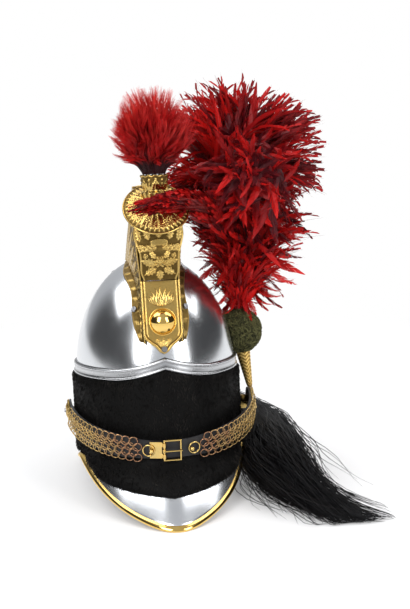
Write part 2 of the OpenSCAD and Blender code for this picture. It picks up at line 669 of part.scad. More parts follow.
// A cell's top with its bristle: 0 to 3 are the cell's corners, 4 to 10 the bristle
bristle_tris = [[0, 1, 4], [1, 5, 4], [1, 2, 5], [2, 6, 5], [2, 3, 6], [3, 0, 6], [0, 4, 6],
    [4, 5, 8], [4, 8, 7], [5, 6, 9], [5, 9, 8], [6, 4, 7], [6, 7, 9],
    [7, 8, 10], [8, 9, 10], [9, 7, 10]];
grid_side = 2 * grid_n + 2;
function in_cup(i, j) = norm([i, j]) * cell < cup_r - cell * 0.3;
function corner(i, j) = (i + grid_n) * grid_side + j + grid_n;
module tuft_bristles() {
    top = [for (i = [0 : grid_side - 1], j = [0 : grid_side - 1])
        [(i - grid_n - 0.5) * cell, (j - grid_n - 0.5) * cell, root_z]];
    low = [for (p = top) p - [0, 0, back_t]];
    cells = [for (i = [-grid_n : grid_n], j = [-grid_n : grid_n]) if (in_cup(i, j)) [i, j]];
    n = len(top);
    strands = [for (c = cells) each bristle_pts(c * cell, root_z)];
    faces = [for (k = [0 : len(cells) - 1])
        let (i = cells[k][0], j = cells[k][1],
            q = [corner(i, j), corner(i + 1, j), corner(i + 1, j + 1), corner(i, j + 1)],
            at = concat(q, [for (m = [0 : 6]) 2 * n + 7 * k + m]),
            open = [!in_cup(i, j - 1), !in_cup(i + 1, j), !in_cup(i, j + 1), !in_cup(i - 1, j)])
        each concat([for (f = bristle_tris) [at[f[0]], at[f[1]], at[f[2]]]],
            [[q[0] + n, q[2] + n, q[1] + n], [q[0] + n, q[3] + n, q[2] + n]],
            [for (e = [0 : 3]) if (open[e]) let (a = q[e], b = q[(e + 1) % 4])
                each [[a, a + n, b], [b, a + n, b + n]]])];
    echo(bristles = len(cells));
    color(feather_red) stand() translate([0, socket_y, socket_z + socket_h + back_t - 1])
        solid(concat(top, low, strands), faces);
}

// Horsehair mane: it leaves the crest through a clamp, falls behind the neck guard and
// sweeps round to the wearer's left on the ground
mane_u = 0.955;
clamp_r = 7.4;
clamp_wall = 1.6;
clamp_h = 16;
mane_root_r = clamp_r - clamp_wall - lay_gap;
module mane_clamp() {
    p = crest_top(mane_u, 0);
    color(brass) stand() aim(p, crest_norm(mane_u)) translate([0, 0, 2 * lay_gap]) difference() {
        union() {
            cylinder(r = clamp_r, h = clamp_h);
            cylinder(r = clamp_r + 2.2, h = 2);
        }
        translate([0, 0, 3]) cylinder(r = clamp_r - clamp_wall, h = clamp_h);
    }
}
// Points of the mane in the standing frame with their radii: out of the clamp, down
// behind the neck guard, then over the ground. Heights are above the ground.
mane_path = concat([for (h = [3 + 3 * lay_gap, clamp_h + 4]) let (p = upright(crest_top(mane_u, 0)
        + crest_norm(mane_u) * h)) [p.x, p.y, p.z - floor_z, mane_root_r]],
    [[0, 153, 218, 7], [1, 162, 209, 9.5], [3, 168, 194, 13], [6, 172, 174, 17],
    [10, 175, 148, 20], [15, 177, 118, 23], [22, 178, 88, 25], [34, 175, 60, 27],
    [58, 165, 44, 28.5], [92, 140, 37, 28], [121, 98, 35, 26.5], [131, 46, 34, 30],
    [131, -8, 32, 32.5], [131, -50, 28, 31], [137, -88, 22, 26], [152, -120, 14, 16],
    [168, -145, 8.6, 9.4], [184, -165, 5.2, 5.2], [198, -178, 3.4, 3], [208, -188, 2.4, 1.8]]);
mane_split = 9;
mane_sides = 12;
mane_flat = 0.8;
function path_pt(i) = let (p = mane_path[max(0, min(len(mane_path) - 1, i))])
    [p[0], p[1], floor_z + p[2]];
// Ring i of the mane, moved on by some millimetres; ref sets which way it is flat
function mane_ring(i, on, ref) =
    let (t = unit(path_pt(i + 1) - path_pt(i - 1)), r = mane_path[i][3],
        side = unit(cross(t, ref)), up = cross(side, t))
    [for (j = [0 : mane_sides - 1]) let (a = j * 360 / mane_sides)
        path_pt(i) + t * on + side * r * cos(a) + up * r * mane_flat * sin(a)];
module mane_fall() {
    color(hair_black) skin([for (i = [0 : mane_split]) mane_ring(i, 0, [0, 1, 1])]);
}
module mane_sweep() {
    color(hair_black) skin([for (i = [mane_split : len(mane_path) - 1])
        mane_ring(i, i == mane_split ? lay_gap : 0, [0, 0, 1])]);
}

// Side plume: a socket on the turban, a wound stem, a wool ball and feathers
hinge_y = 3;
hinge_z = 43;
pivot_r = 2.4;
stem_foot = [115, 22, 52];
stem_lean_in = 8;
stem_lean_back = 3;
pin_l = 24;
module plume_frame() {
    stand() translate(stem_foot) rotate([-stem_lean_back, -stem_lean_in, 0]) children();
}
module plume_socket() {
    wall = 1.4;
    r = plume_pin_r + run_gap;
    y = stem_foot.y - 4;
    x = (skull_a + fur_t) * sqrt(1 - pow(y / (skull_b + fur_t), 2)) + lay_gap;
    color(brass) difference() {
        union() {
            plume_frame() translate([0, 0, -pin_l - 2]) cylinder(r = r + wall, h = pin_l + 1.5);
            stand() translate([x, y, 28]) cube([stem_foot.x - x, 3 + 2 * wall, 12]);
        }
        plume_frame() translate([0, 0, -pin_l - 1]) cylinder(r = r, h = pin_l + 8);
    }
}
module plume_stem() {
    color("#c9a13a") plume_frame() {
        translate([0, 0, -pin_l]) cylinder(r = plume_pin_r, h = pin_l + 4);
        rotate_extrude() polygon([[0, 0.3], [plume_pin_r + 0.6, 0.3], [3.4, 6],
            [stem_r, stem_l], [stem_r, stem_l + 2], [0, stem_l + 2]]);
    }
}
wool_z = stem_l + wool_r * 0.86 + 2 + lay_gap;
module plume_wool_ball() {
    color(wool_green) difference() {
        plume_frame() translate([0, 0, wool_z]) difference() {
            sphere(r = wool_r);
            translate([0, 0, -wool_r - 10]) cylinder(r = wool_r, h = 10 + wool_r * 0.14);
        }
        stand() skin([for (u = [80, 60, 45, 32, 20, 10, 0]) [for (i = [0 : 23])
            let (p = skull_ring_pt(i * 15, u, band_t + 2.2)) p]]);
    }
}

// Feathers: one core that widens upwards from the wool ball. Every other cell of its
// surface grows a blade, and one cell grows the lock that droops over the disc.
core_sides = 12;
core_foot = stem_foot + wool_z * [-sin(stem_lean_in) * cos(stem_lean_back), sin(stem_lean_back),
    cos(stem_lean_in) * cos(stem_lean_back)] + [0, 0, wool_r + lay_gap];
// Middles of the core's rings, from its foot on
core_mid = [for (p = [[0, 0, 0], [1, 2, 16], [3, 2, 31], [6, 3, 48], [9, 4, 68], [11, 4, 90],
    [12, 4, 114], [12, 4, 140], [11, 4, 167], [8, 4, 194], [4, 4, 219], [0, 4, 239]])
    core_foot + p];
core_r = [7, 12, 17, 23, 31, 41, 48, 52, 52, 47, 38, 22];
core_flat = 0.78;
blade_l = [16, 28, 44, 56, 60, 58, 54, 46];
blade_rise = [3, 1.8, 1.1, 0.7, 0.35, 0.3, 0.7, 1.6];
blade_w = 8;
blade_t = 2.4;
lock_cell = [5, 10];
lock_pts = [[88, 2, 250, 9], [71, -30, 263, 10], [55, -82, 275, 8], [32, -120, 281, 7],
    [6, -140, 282, 6], [-18, -145, 279, 4]];
lock_tip = [-37, -145, 275];
function grows(i, j) = (i + j) % 2 == 0 || (i == lock_cell[0] && j == lock_cell[1]);
function core_pt(i, j) = let (r = ray(j * 360 / core_sides) * core_r[i])
    core_mid[i] + [r.x, r.y * core_flat, 0];
// Three corners round a point of a blade that runs along t: below, and to both sides
function blade_ring(p, t, half, thick) =
    let (e = unit(cross([0, 0, 1], t)), up = cross(t, e))
    [p - up * thick, p + e * half, p - e * half];
function blade_pts(i, j) =
    let (m = len(core_r) - 1, u = (i + 0.5) / m, n = ray((j + 0.5) * 360 / core_sides),
        q = [for (c = [core_pt(i, j), core_pt(i, j + 1), core_pt(i + 1, j + 1),
            core_pt(i + 1, j)]) c],
        mid = (q[0] + q[1] + q[2] + q[3]) / 4,
        out = [n.x, n.y * core_flat, 0], rise = spline(blade_rise, u),
        long = spline(blade_l, u) * (1 - 0.09 * ((3 * i + 5 * j) % 4))
            * feather_reach,
        knee = mid + (out + [0, 0, rise * 0.6 + 0.3]) * long * 0.42,
        tip = mid + unit(out + [0, 0, rise]) * long,
        root = [mid + ((q[0] + q[1]) / 2 - mid) * 0.6, mid + (q[2] - mid) * 0.6,
            mid + (q[3] - mid) * 0.6],
        lock = i == lock_cell[0] && j == lock_cell[1])
    concat(root, lock
        ? [for (k = [0 : len(lock_pts) - 1])
            let (p = [for (c = [0 : 2]) lock_pts[k][c]],
                a = k == 0 ? mid : [for (c = [0 : 2]) lock_pts[k - 1][c]],
                b = k == len(lock_pts) - 1 ? lock_tip
                    : [for (c = [0 : 2]) lock_pts[k + 1][c]])
            each blade_ring(p, unit(b - a), lock_pts[k][3], lock_pts[k][3] * 0.8)]
        : [for (k = [0.3, 0.55, 0.8])
            each blade_ring(bend(mid, knee, tip, k),
                unit(bend(mid, knee, tip, k + 0.1) - bend(mid, knee, tip, k)),
                blade_w * (0.7 + 1.6 * k * (1 - k)) * (1.05 - k * k), blade_t * (1.1 - k))],
        [lock ? lock_tip : tip]);
function bend(a, b, c, k) = mix(mix(a, b, k), mix(b, c, k), k);
// Triangles of a cell whose corners are q and whose blade's points start at index s
function blade_tris(q, s, rings) =
    let (at = concat(q, [for (m = [0 : 3 * rings]) s + m]), e = 4 + 3 * rings)
    [for (f = concat([for (f = [0 : 6]) bristle_tris[f]],
        [for (k = [0 : rings - 2], m = [0 : 2]) let (a = 4 + 3 * k + m,
            b = 4 + 3 * k + (m + 1) % 3) each [[a, b, b + 3], [a, b + 3, a + 3]]],
        [for (m = [0 : 2]) [e - 3 + m, e - 3 + (m + 1) % 3, e]]))
        [at[f[0]], at[f[1]], at[f[2]]]];
module plume_feathers() {
    m = len(core_r);
    n = core_sides;
    cells = [for (i = [0 : m - 2], j = [0 : n - 1]) if (grows(i, j)) [i, j]];
    blades = [for (c = cells) blade_pts(c[0], c[1])];
    // Where each blade's points start
    starts = [for (k = 0, s = m * n; k <= len(cells); s = s + len(blades[min(k, len(cells) - 1)]),
        k = k + 1) s];
    core = [for (i = [0 : m - 1], j = [0 : n - 1]) core_pt(i, j)];
    function quad(i, j) = let (l = (j + 1) % n)
        [i * n + j, i * n + l, (i + 1) * n + l, (i + 1) * n + j];
    plain = [for (i = [0 : m - 2], j = [0 : n - 1]) if (!grows(i, j))
        let (q = quad(i, j)) each [[q[0], q[1], q[2]], [q[0], q[2], q[3]]]];
    grown = [for (k = [0 : len(cells) - 1])
        each blade_tris(quad(cells[k][0], cells[k][1]), starts[k], (len(blades[k]) - 1) / 3)];
    last = (m - 1) * n;
    caps = [for (j = [1 : n - 2]) each [[0, j + 1, j], [last, last + j, last + j + 1]]];
    color(feather_red) stand()
        solid(concat(core, [for (b = blades) each b]), concat(plain, grown, caps));
}

// Chin strap: it turns on the rosettes and lies above the visor. Its own frame has the
// hinge as X, and dips to the front.
strap_dip = 12;
strap_t = 2;
strap_in_r = skull_a + fur_t + 3.4;
strap_in_l = skull_a + fur_t + 11;
strap_b = 130;
tongue_w = 20;
module strap_frame() {
    stand() translate([0, hinge_y, hinge_z]) rotate([strap_dip, 0, 0]) children();
}
function strap_in(ang) = ang > 0 ? strap_in_l : strap_in_r;
function strap_pt(ang, h, v) =
    let (a = strap_in(ang) + h, b = strap_b + h)
    ray(ang) / sqrt(pow(sin(ang) / a, 2) + pow(cos(ang) / b, 2)) + [0, 0, v];
function strap_norm(ang) =
    unit([sin(ang) / pow(strap_in(ang), 2), -cos(ang) / pow(strap_b, 2), 0]);
function strap_half(ang) = mix(tongue_w, strap_w, min(1, max(0, (abs(ang) - 8) / 22))) / 2;
module strap_half_solid(from, to, holes) {
    steps = 22;
    s = sign(from);
    x = s * (strap_in(from) + strap_t / 2);
    difference() {
        union() {
            skin([for (i = [0 : steps])
                let (ang = mix(from, to, i / steps), w = strap_half(ang))
                [strap_pt(ang, 0, -w), strap_pt(ang, strap_t, -w),
                    strap_pt(ang, strap_t, w), strap_pt(ang, 0, w)]]);
            translate([x, 0, 0]) rotate([0, 90, 0])
                cylinder(r = strap_w / 2, h = strap_t, center = true);
        }
        translate([x, 0, 0]) rotate([0, 90, 0])
            cylinder(r = pivot_r + run_gap, h = 30, center = true);
        for (a = holes) aim(strap_pt(a, 0, 0), strap_norm(a)) translate([0, 0, -5])
            cylinder(r = stud_r + run_gap, h = 12);
    }
}
split_ang = -4.2;
module strap_leather_right() {
    color(leather_black) strap_frame() strap_half_solid(-89, split_ang - 0.4, [stud_ang_r]);
}
module strap_leather_left() {
    color(leather_black) strap_frame() strap_half_solid(89, split_ang + 0.1, [stud_ang_l]);
}

// Ring mesh: every ring is linked with four others, and the rows lie like shingles
mesh_pitch = ring_r * 1.96;
mesh_rise = ring_r * 1.32;
mesh_tilt = 10;
mesh_shingle = 22;
mesh_rows = 4;
mesh_lift = strap_t + 0.41 * ring_r + wire_r + 2 * lay_gap;
mesh_to = 79;
// Where a mesh starts, just clear of the large link beside its stud
function mesh_from(stud) = abs(stud) + link_off
    + (link_r + link_wire + ring_r + wire_r + 0.4) / (strap_b + mesh_lift) * 180 / PI;
// Angles of the columns, half a pitch apart, from one angle to another
function columns(ang, to) = abs(ang) > to ? [] :
    let (p = strap_pt(ang, mesh_lift, 0), grow = strap_norm(ang) * ray(ang),
        step = mesh_pitch / 2 * grow / norm([p.x, p.y]) * 180 / PI)
    concat([ang], columns(ang + sign(ang) * step, to));
module ring(r, wire) {
    rotate_extrude() translate([r, 0]) circle(r = wire, $fn = 16);
}
module chain_mesh(s, stud) {
    angs = columns(s * mesh_from(stud), mesh_to);
    for (i = [0 : len(angs) - 1], row = [0 : mesh_rows - 1])
        if ((i + row) % 2 == 0)
            aim(strap_pt(angs[i], mesh_lift, (row - (mesh_rows - 1) / 2) * mesh_rise),
                strap_norm(angs[i]))
                rotate([0, (row % 2 == 0 ? 1 : -1) * mesh_tilt, 0])
                rotate([s * mesh_shingle, 0, 0]) ring(ring_r, wire_r);
}
module chain_mesh_right() { color("#a9743c") strap_frame() chain_mesh(-1, stud_ang_r); }
module chain_mesh_left() { color("#a9743c") strap_frame() chain_mesh(1, stud_ang_l); }

// Large link and ball stud at the inner end of each mesh
stud_ang_r = -8.6;
stud_ang_l = 9.6;
stud_r = 1.3;
stud_ball_r = 2.6;
link_r = 6.3;
link_wire = 0.8;
chape_t = 1.2;
link_lift = strap_t + chape_t + link_wire + 3 * lay_gap;
// The link hangs on its stud, so that its middle stands off by this angle
link_off = (link_r - link_wire - stud_r - lay_gap) / (strap_b + link_lift) * 180 / PI;
module chain_end_links() {
    color(brass) strap_frame() for (a = [stud_ang_r, stud_ang_l])
        let (b = a + sign(a) * link_off)
        aim(strap_pt(b, link_lift, 0), strap_norm(b)) ring(link_r, link_wire);
}
module strap_studs() {
    color(brass) strap_frame() for (a = [stud_ang_r, stud_ang_l])
        aim(strap_pt(a, 0, 0), strap_norm(a)) {
            translate([0, 0, -1.2]) cylinder(r = stud_r, h = link_lift + link_wire + 2.4);
            translate([0, 0, -1.2]) cylinder(r = stud_r + 1.4, h = 1);
            translate([0, 0, link_lift + link_wire + lay_gap + stud_ball_r * 0.8])
                sphere(r = stud_ball_r);
        }
}

// Buckle: a chape on the right leather carries a bar, and on it the frame and the prong
bar_r = 1;
frame_l = 18;
knuckle_r = bar_r + run_gap + 0.9;
knuckle_z = [4, 9];
prong_half = 1.6;
// The chape lies on the leather at this angle, and holds the bar past its end
chape_ang = -6.9;
chape_reach = 9.5;
chape_out = strap_norm(chape_ang);
bar_at = strap_pt(chape_ang, strap_t + lay_gap, 0) + chape_out * (knuckle_r + 0.4)
    + chape_reach * [-chape_out.y, chape_out.x, 0];
module buckle_bar_frame() { translate(bar_at) children(); }
module buckle_chape() {
    color(brass) strap_frame() difference() {
        union() {
            aim(strap_pt(chape_ang, strap_t + lay_gap, 0), chape_out) {
                translate([-tongue_w / 2 + 0.5, -6.5, 0]) cube([tongue_w - 1, 13, chape_t]);
                for (s = [-1, 1]) translate([s < 0 ? -knuckle_z[1] : knuckle_z[0], 6, 0])
                    cube([knuckle_z[1] - knuckle_z[0], chape_reach - 6, chape_t]);
            }
            for (s = [-1, 1]) buckle_bar_frame()
                translate([0, 0, s > 0 ? knuckle_z[0] : -knuckle_z[1]])
                cylinder(r = knuckle_r, h = knuckle_z[1] - knuckle_z[0]);
        }
        buckle_bar_frame() cylinder(r = bar_r + run_gap, h = 40, center = true);
        aim(strap_pt(stud_ang_r, 0, 0), strap_norm(stud_ang_r))
            cylinder(r = stud_r + run_gap + 0.3, h = 12);
    }
}
module buckle_frame() {
    z = buckle_w / 2 - bar_r;
    color(brass) strap_frame() buckle_bar_frame() {
        cylinder(r = bar_r, h = 2 * z, center = true);
        translate([frame_l, 0, 0]) cylinder(r = bar_r, h = 2 * z, center = true);
        for (s = [-1, 1]) translate([0, 0, s * z]) {
            rotate([0, 90, 0]) cylinder(r = bar_r, h = frame_l);
            sphere(r = bar_r);
            translate([frame_l, 0, 0]) sphere(r = bar_r);
        }
    }
}
module buckle_prong() {
    color(brass) strap_frame() buckle_bar_frame() difference() {
        union() {
            cylinder(r = knuckle_r, h = 2 * prong_half, center = true);
            translate([0, -2 * bar_r - lay_gap, 0]) rotate([0, 90, 0])
                cylinder(r1 = 1, r2 = 0.7, h = frame_l + 1.6);
            translate([0, -2 * bar_r - lay_gap, 0]) sphere(r = 1);
        }
        cylinder(r = bar_r + run_gap, h = 20, center = true);
    }
}

// Rosettes: each has a sleeve through the strap's eye, the fur and the skull
screw_bore = 1.25;
function rosette_x(s) = (s < 0 ? strap_in_r : strap_in_l) + strap_t + 0.4;
module rosette(s) {
    x0 = skull_a - steel_t;
    long = rosette_x(s) - x0;
    stand() translate([s * x0, hinge_y, hinge_z]) rotate([0, s * 90, 0]) difference() {
        union() {
            cylinder(r = pivot_r, h = long + 1);
            translate([0, 0, steel_t + fur_t + 0.2]) cylinder(r = pivot_r + 1.8,
                h = long - steel_t - fur_t - strap_t - 1.2);
            translate([0, 0, long]) rotate_extrude() polygon([[0, 0], [rosette_r - 0.6, 0],
                [rosette_r, 0.6], [rosette_r, 1.4], [rosette_r * 0.86, 2.2],
                [rosette_r * 0.74, 1.5], [rosette_r * 0.6, 3.2], [rosette_r * 0.38, 4.2],
                [rosette_r * 0.3, 3.6], [0, 3.6]]);
        }
        translate([0, 0, -1]) cylinder(r = screw_bore, h = long + 12);
    }
}
module rosette_right() { color(brass) rosette(-1); }
module rosette_left() { color(brass) rosette(1); }
module rosette_screws() {
    color(old_brass) stand() for (s = [-1, 1]) {
        x0 = skull_a - steel_t - nut_t - 2 * lay_gap;
        long = rosette_x(s) + 3.6 + lay_gap - x0;
        translate([s * x0, hinge_y, hinge_z]) rotate([0, s * 90, 0]) {
            cylinder(r = screw_bore - run_gap, h = long + 0.5);
            translate([0, 0, long]) difference() {
                cylinder(r1 = 2.6, r2 = 2.2, h = 2.4);
                translate([-4, -0.4, 1.6]) cube([8, 0.8, 2]);
            }
        }
    }
}
module rosette_nuts() {
    color("dimgray") stand() for (s = [-1, 1])
        translate([s * (skull_a - steel_t - 2 * lay_gap), hinge_y, hinge_z]) rotate([0, -s * 90, 0])
            nut(4, screw_bore, nut_t);
}

skull_shell();
rim_band();
turban();
visor_plate();
visor_trim();
visor_rivets();
neck_guard_plate();
neck_guard_trim();
neck_guard_rivets();
liner_headband();
liner_lobes();
liner_cord();
crest_side_right();
crest_side_left();
crest_top_strip();
crest_front_plate();
crest_flames();
crest_ball_boss();
crest_console();
crest_disc();
crest_screws();
crest_nuts();
tuft_socket();
tuft_spindle();
tuft_bristles();
mane_clamp();
mane_fall();
mane_sweep();
plume_socket();
plume_stem();
plume_wool_ball();
plume_feathers();
rosette_right();
rosette_left();
rosette_screws();
rosette_nuts();
strap_leather_right();
strap_leather_left();
chain_mesh_right();
chain_mesh_left();
chain_end_links();
strap_studs();
buckle_chape();
buckle_frame();
buckle_prong();
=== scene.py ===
import bpy
import numpy as np
from math import sin, cos, tan, pi, radians, sqrt
from mathutils import Matrix, Vector

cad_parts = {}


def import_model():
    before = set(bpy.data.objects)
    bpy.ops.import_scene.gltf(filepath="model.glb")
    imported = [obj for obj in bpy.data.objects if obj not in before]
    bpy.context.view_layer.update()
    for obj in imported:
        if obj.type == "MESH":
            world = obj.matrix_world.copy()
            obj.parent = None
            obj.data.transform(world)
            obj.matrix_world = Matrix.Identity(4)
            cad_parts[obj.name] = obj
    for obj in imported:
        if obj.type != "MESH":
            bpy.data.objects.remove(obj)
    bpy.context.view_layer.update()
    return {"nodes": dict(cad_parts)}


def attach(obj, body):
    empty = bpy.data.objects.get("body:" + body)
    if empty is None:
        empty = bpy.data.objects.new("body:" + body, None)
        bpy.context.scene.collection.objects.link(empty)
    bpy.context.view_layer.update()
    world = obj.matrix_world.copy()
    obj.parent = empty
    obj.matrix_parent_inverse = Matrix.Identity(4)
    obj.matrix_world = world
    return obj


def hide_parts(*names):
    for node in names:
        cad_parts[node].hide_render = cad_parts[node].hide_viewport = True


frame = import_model()
scene = bpy.context.scene

# Shapes shared with the solids: millimetres and degrees, in the helmet's own frame
# Half width, half depth, height of the dome over its rim and of the rim over the lower edge
skull = {"a": 92.0, "b": 112.0, "dome": 130.0, "rim": 88.0}
sheet = 1.2
# The helmet stands tilted back on a floor whose height is given in metres
lean = radians(6.5)
floorZ = -0.041971


def stand(p):
    # From the helmet's own frame into metres, tilted back as it stands
    p = np.asarray(p, float)
    y = p[..., 1] * cos(lean) + p[..., 2] * sin(lean)
    z = -p[..., 1] * sin(lean) + p[..., 2] * cos(lean)
    return np.stack([p[..., 0], y, z], -1) / 1000


def standDir(p):
    return stand(p) * 1000


def unit(v):
    v = np.asarray(v, float)
    return v / np.maximum(np.linalg.norm(v, axis=-1, keepdims=True), 1e-12)


def mix(a, b, k):
    return a * (1 - k) + b * k


def step(a, b, x):
    t = np.clip((x - a) / (b - a), 0, 1)
    return t * t * (3 - 2 * t)


def bell(x, mid, wide):
    return np.exp(-((x - mid) / wide) ** 2)


def wave(x):
    return 0.5 + 0.5 * np.cos(x)


def bulge(s):
    return np.sqrt(np.maximum(0, 1 - s))


def count(many):
    return many


def sind(a):
    return np.sin(np.radians(a))


def cosd(a):
    return np.cos(np.radians(a))


def vec(x, y, z):
    x, y, z = np.broadcast_arrays(np.asarray(x, float), y, z)
    return np.stack([x, y, z], -1)


def skullR(ang, h=0.0):
    return 1 / np.sqrt((sind(ang) / (skull["a"] + h)) ** 2 + (cosd(ang) / (skull["b"] + h)) ** 2)


def wallPt(ang, z, h=0.0):
    # A point at height z of the skull's wall or dome, h off its outside; 0 degrees is the front
    share = np.sqrt(1 - (np.maximum(z - skull["rim"], 0) / skull["dome"]) ** 2)
    r = skullR(ang, h) * share
    return vec(sind(ang) * r, -cosd(ang) * r, z)


def domeRing(ang, up, h=0.0):
    r = skullR(ang, h) * cosd(up)
    return vec(sind(ang) * r, -cosd(ang) * r, skull["rim"] + (skull["dome"] + h) * sind(up))


def domePt(x, up, h=0.0):
    # A point of the dome x to the side, up degrees over the brow
    f = np.sqrt(1 - (x / (skull["a"] + h)) ** 2)
    return vec(x, -(skull["b"] + h) * f * cosd(up),
               skull["rim"] + (skull["dome"] + h) * f * sind(up))


def domeOut(p):
    return unit(vec(p[..., 0] / skull["a"] ** 2, p[..., 1] / skull["b"] ** 2,
                    (p[..., 2] - skull["rim"]) / skull["dome"] ** 2))


def spline(pts, u):
    pts = np.asarray(pts, float)
    n = len(pts) - 1
    s = np.atleast_1d(np.asarray(u, float)) * n
    i = np.clip(np.floor(s).astype(int), 0, n - 1)
    t = (s - i).reshape((-1,) + (1,) * (pts.ndim - 1))
    a, b = pts[np.maximum(i - 1, 0)], pts[i]
    c, d = pts[i + 1], pts[np.minimum(i + 2, n)]
    return 0.5 * (2 * b + (c - a) * t + (2 * a - 5 * b + 4 * c - d) * t ** 2
                  + (3 * b - a - 3 * c + d) * t ** 3)


def smoothNoise(x, seed):
    # Five waves, each shorter and lower than the last
    r = np.random.default_rng(seed)
    out = 0
    for k in range(5):
        out = out + np.sin(x * r.uniform(0.6, 1.4) * (1.7 ** k) + r.uniform(0, 7)) / 1.6 ** k
    return out / 2


def tubeRings(centre, side, up, r, turn):
    # A ring of points round each point of the middle line
    c, s = cosd(turn)[None, :, None], sind(turn)[None, :, None]
    return centre[:, None] + r * (side[:, None] * c + up[..., None, :] * s)


# Meshes from grids of points, and what each piece is to the frame
def addMarks(me, marks, kind="FLOAT", field="value"):
    for key, val in marks.items():
        at = me.attributes.new(key, kind, "POINT")
        at.data.foreach_set(field, np.ascontiguousarray(val, np.float32).ravel())


def addObject(me):
    ob = bpy.data.objects.new(me.name, me)
    scene.collection.objects.link(ob)
    return ob


def meshFrom(name, verts, faces, mat, marks=None):
    me = bpy.data.meshes.new(name)
    me.from_pydata([tuple(v) for v in np.asarray(verts, float)], [], [tuple(f) for f in faces])
    me.validate()
    me.shade_smooth()
    addMarks(me, marks or {})
    me.materials.append(mat)
    return addObject(me)


def gridMesh(name, pts, mat, loopU=False, flip=False, marks=None, ends=False):
    # Each row of points is a ring; loopU joins the last row to the first, ends caps both
    n, m = pts.shape[:2]
    i, j = np.meshgrid(np.arange(n if loopU else n - 1), np.arange(m), indexing="ij")
    k, l = (i + 1) % n, (j + 1) % m
    faces = np.stack([i * m + j, k * m + j, k * m + l, i * m + l], -1).reshape(-1, 4)
    if flip:
        faces = faces[:, ::-1]
    faces = faces.tolist()
    if ends:
        a, b = list(range(m)), list(range((n - 1) * m, n * m))
        faces += [a[::-1], b] if flip else [a, b[::-1]]
    return meshFrom(name, pts.reshape(-1, 3), faces, mat, marks)


def joinMeshes(name, obs):
    bpy.context.view_layer.update()
    for o in bpy.context.selected_objects:
        o.select_set(False)
    for o in obs:
        o.select_set(True)
    bpy.context.view_layer.objects.active = obs[0]
    with bpy.context.temp_override(active_object=obs[0], selected_editable_objects=obs,
                                   selected_objects=obs):
        bpy.ops.object.join()
    obs[0].name = name
    obs[0].data.name = name
    return obs[0]


def dress(ob, body, node):
    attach(ob, body)
    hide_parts(node)


def reliefPiece(name, node, pts, mat, wearAndPaintedLight, flip=False, body="helmet"):
    # Points past the given ones are a back or an inside, which stays half dark, partly patina and
    # partly painted shade
    high = np.full(pts.shape[:2], 0.3)
    high[:wearAndPaintedLight.shape[0], :wearAndPaintedLight.shape[1]] = np.clip(wearAndPaintedLight, 0, 1)
    ob = gridMesh(name, stand(pts), mat, flip=flip, marks={"relief": high}, ends=True)
    dress(ob, body, node)


class Sock:
    # A node's outlet, on which sums and products become math nodes
    def __init__(self, tree, out):
        self.tree, self.out = tree, out

    def __add__(self, o):
        return self.tree.math("ADD", self, o)

    def __sub__(self, o):
        return self.tree.math("SUBTRACT", self, o)

    def __mul__(self, o):
        return self.tree.math("MULTIPLY", self, o)

    def __pow__(self, o):
        return self.tree.math("POWER", self, o)

    __radd__ = __add__
    __rmul__ = __mul__


class Tree:
    kind = "ShaderNode"

    def __init__(self, tree):
        self.tree = tree
        self.tree.nodes.clear()

    def put(self, nd, key, val):
        slot = nd.inputs[key]
        if isinstance(val, Sock):
            self.tree.links.new(val.out, slot)
        elif slot.type == "RGBA" and len(val) == 3:
            slot.default_value = (*val, 1)
        else:
            slot.default_value = val

    def node(self, name, out=0, ins=None, **props):
        nd = self.tree.nodes.new(name if "Node" in name else self.kind + name)
        for k, v in props.items():
            setattr(nd, k, v)
        for k, v in (ins or {}).items():
            self.put(nd, k, v)
        return Sock(self, nd.outputs[out]) if nd.outputs else nd

    def math(self, op, a, b=0.0, clamp=False):
        return self.node("ShaderNodeMath", 0, {0: a, 1: b}, operation=op, use_clamp=clamp)

    def axis(self, v, i=0):
        return self.node("SeparateXYZ", i, {0: v})


class Mat(Tree):
    def __init__(self, name, color, **consts):
        self.data = bpy.data.materials.new(name)
        self.data.use_nodes = True
        super().__init__(self.data.node_tree)
        self.bsdf = self.tree.nodes.new("ShaderNodeBsdfPrincipled")
        self.end = self.node("OutputMaterial", 0, {0: Sock(self, self.bsdf.outputs[0])})
        self.data.diffuse_color = (*color, 1)
        self.set(Base_Color=color, **consts)

    def set(self, **ins):
        for k, v in ins.items():
            self.put(self.bsdf, k.replace("_", " "), v)
        return self.data

    def place(self):
        return self.node("TexCoord", "Object")

    def mark(self, name):
        return self.node("Attribute", "Fac", attribute_name=name)

    def noise(self, scale, detail=3.0, rough=0.5, stretch=None):
        v = self.place()
        if stretch:
            v = self.node("Mapping", 0, {"Vector": v, "Scale": stretch})
        return self.node("TexNoise", "Fac", {"Vector": v, "Scale": scale, "Detail": detail,
                                             "Roughness": rough})

    def ramp(self, fac, a, b, lo=0.0, hi=1.0):
        return self.node("MapRange", 0, {"Value": fac, "From Min": a, "From Max": b,
                                         "To Min": lo, "To Max": hi}, clamp=True)

    def blend(self, fac, a, b):
        return self.node("Mix", 2, {0: fac, 6: a, 7: b}, data_type="RGBA")

    def bump(self, height, strength, distance):
        return self.node("Bump", 0, {"Height": height, "Strength": strength,
                                     "Distance": distance})


